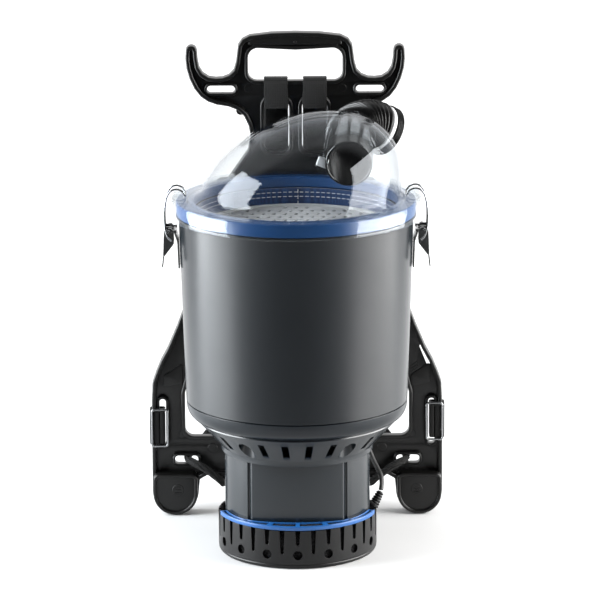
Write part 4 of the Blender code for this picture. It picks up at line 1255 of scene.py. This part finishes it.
def pad_blank(size, center, radius):
    bm = bmesh.new()
    bmesh.ops.create_cube(bm, size=1.0)
    bmesh.ops.scale(bm, vec=Vector(size) * MM, verts=bm.verts)
    rounding = {"offset": radius * MM, "segments": 4, "affect": "EDGES", "profile": 0.5}
    bmesh.ops.bevel(bm, geom=bm.edges[:], **rounding)
    return moved(written(bm), shift(*center))


def channel(mesh, heights, depth, width, low_y):
    """Sewn channels pressed across the outer face at these heights."""
    for vertex in mesh.vertices:
        if vertex.co.y < low_y * MM:
            continue
        for height in heights:
            gap = abs(vertex.co.z / MM - height) / width
            if gap < 1:
                vertex.co.y -= depth * MM * math.cos(gap * math.pi / 2) ** 2
    return mesh


def gathered(mesh, side):
    """The strap leans in towards the plate's waist as it climbs, and narrows a little."""
    for vertex in mesh.vertices:
        share = min(1.0, max(0.0, (vertex.co.z / MM - 235) / 110))
        share = share * share * (3 - 2 * share)
        middle = side * 42 * MM
        offset = (vertex.co.x - middle) * (1 - 0.14 * share)
        vertex.co.x = middle + offset - side * 16.5 * share * MM
    return mesh


def soft_harness():
    """The padded back panel and the two shoulder straps that lie on it."""
    y = PANEL_BACK + 19
    blank = pad_blank((170, 17, 244), (0, y, 232), 7)
    pad = puffed(blank, 5.0, 2.4)
    pad = channel(subdivided(pad), (172, 212, 252, 292), 2.2, 6.0, y + 4)
    obj = show("padded_back", pad, PAD_MAT, "foam", "back_pad", degrees=180)
    for side, suffix in SIDES:
        blank = pad_blank((43, 6.4, 298), (side * 42, PANEL_BACK + 37, 286), 2.6)
        strap = puffed(blank, 4.0, 1.2)
        strap = gathered(subdivided(strap), side)
        obj = show(
            "padded_strap_" + suffix, strap, PAD_MAT, "webbing", "shoulder_strap_" + suffix,
            degrees=180
        )
        trims = []
        for x in (-18.0, 18.0):
            for k in range(39):
                z = 148 + k * 7.0
                place = Vector((side * 42 + x, PANEL_BACK + 41.2, z))
                trims.append(tube([place, place + Vector((0, 0, 4.6))], 0.3, 1))
        show("strap_seams_" + suffix, gathered(merged(trims), side), WEB_MAT, "webbing")


# ---- power lead and its boot

LEAD_ROUTE = [
    (85.4, 43.6, 46.0), (86.2, 47.0, 52.5), (85.6, 53.5, 58.0), (82.8, 62.0, 62.5),
    (79.0, 71.0, 68.0), (75.0, 79.5, 76.0), (71.2, 87.0, 86.0), (67.8, 94.0, 95.6),
    (64.4, 102.0, 102.4), (61.2, 111.0, 106.0), (58.8, 121.0, 106.4), (57.0, 131.0, 104.0),
    (55.8, 139.0, 98.6), (55.1, 144.4, 90.6), (55.0, 146.0, 81.6)
]


def power_lead():
    lead = tube(smooth_route(LEAD_ROUTE, 120), 2.4, 6)
    show("lead", lead, RUBBER_MAT, "rubber", "power_lead", degrees=80)
    start, end = Vector((77.0, 36.6, 31.0)), Vector((84.9, 42.9, 44.4))
    length = (end - start).length
    profile = [(0, 0)]
    ribs = 6
    for k in range(ribs):
        low = length * k / ribs
        radius = 5.4 - 1.8 * k / ribs
        profile += [
            (radius - 1.0, low), (radius, low + 0.5), (radius, low + 1.7), (radius - 1.0, low + 2.1)
        ]
    profile += [(2.7, length), (0, length)]
    boot = aimed(turned(profile, 40), start, end, start)
    show("lead_boot", boot, CAGE_MAT, "grey_plastic", "strain_relief", degrees=30)


# ---- CAD nodes that stay

KEPT = {
    STEEL_MAT: [
        "fan_can", "impeller", "motor_field", "upper_bearing", "lower_bearing", "fan_end_bracket",
        "brush_end_bracket", *(f"shroud_screw_{i}" for i in range(1, 5)),
        *(f"latch_{piece}_{suffix}" for piece in ("base", "pin", "lever") for suffix in "LR"),
    ],
    PLATE_MAT: ["canister_saddle", "motor_bracket", "switch_box"],
    HOSE_MAT: ["power_switch"],
    RUBBER_MAT: ["lead_gland", "inlet_socket", "motor_mount_ring", "motor_seal"],
    FOAM_MAT: ["pre_motor_filter", "carbon_brush_L", "carbon_brush_R"],
    COPPER_MAT: ["rotor"],
}


def kept_nodes():
    """The CAD nodes that stay in view get their finished materials."""
    for material, names in KEPT.items():
        for name in names:
            coat(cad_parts[name], material)


exhaust_cage()
motor_housing()
exhaust_filter()
vent_shroud()
lower_bowl()
canister_shell()
bag_ring()
filter_bag()
perforated_disc()
lid()
hose_cuff()
hose()
bails()
back_plate()
top_loops()
belt_loops()
belt_rings()
lower_straps()
soft_harness()
power_lead()
kept_nodes()
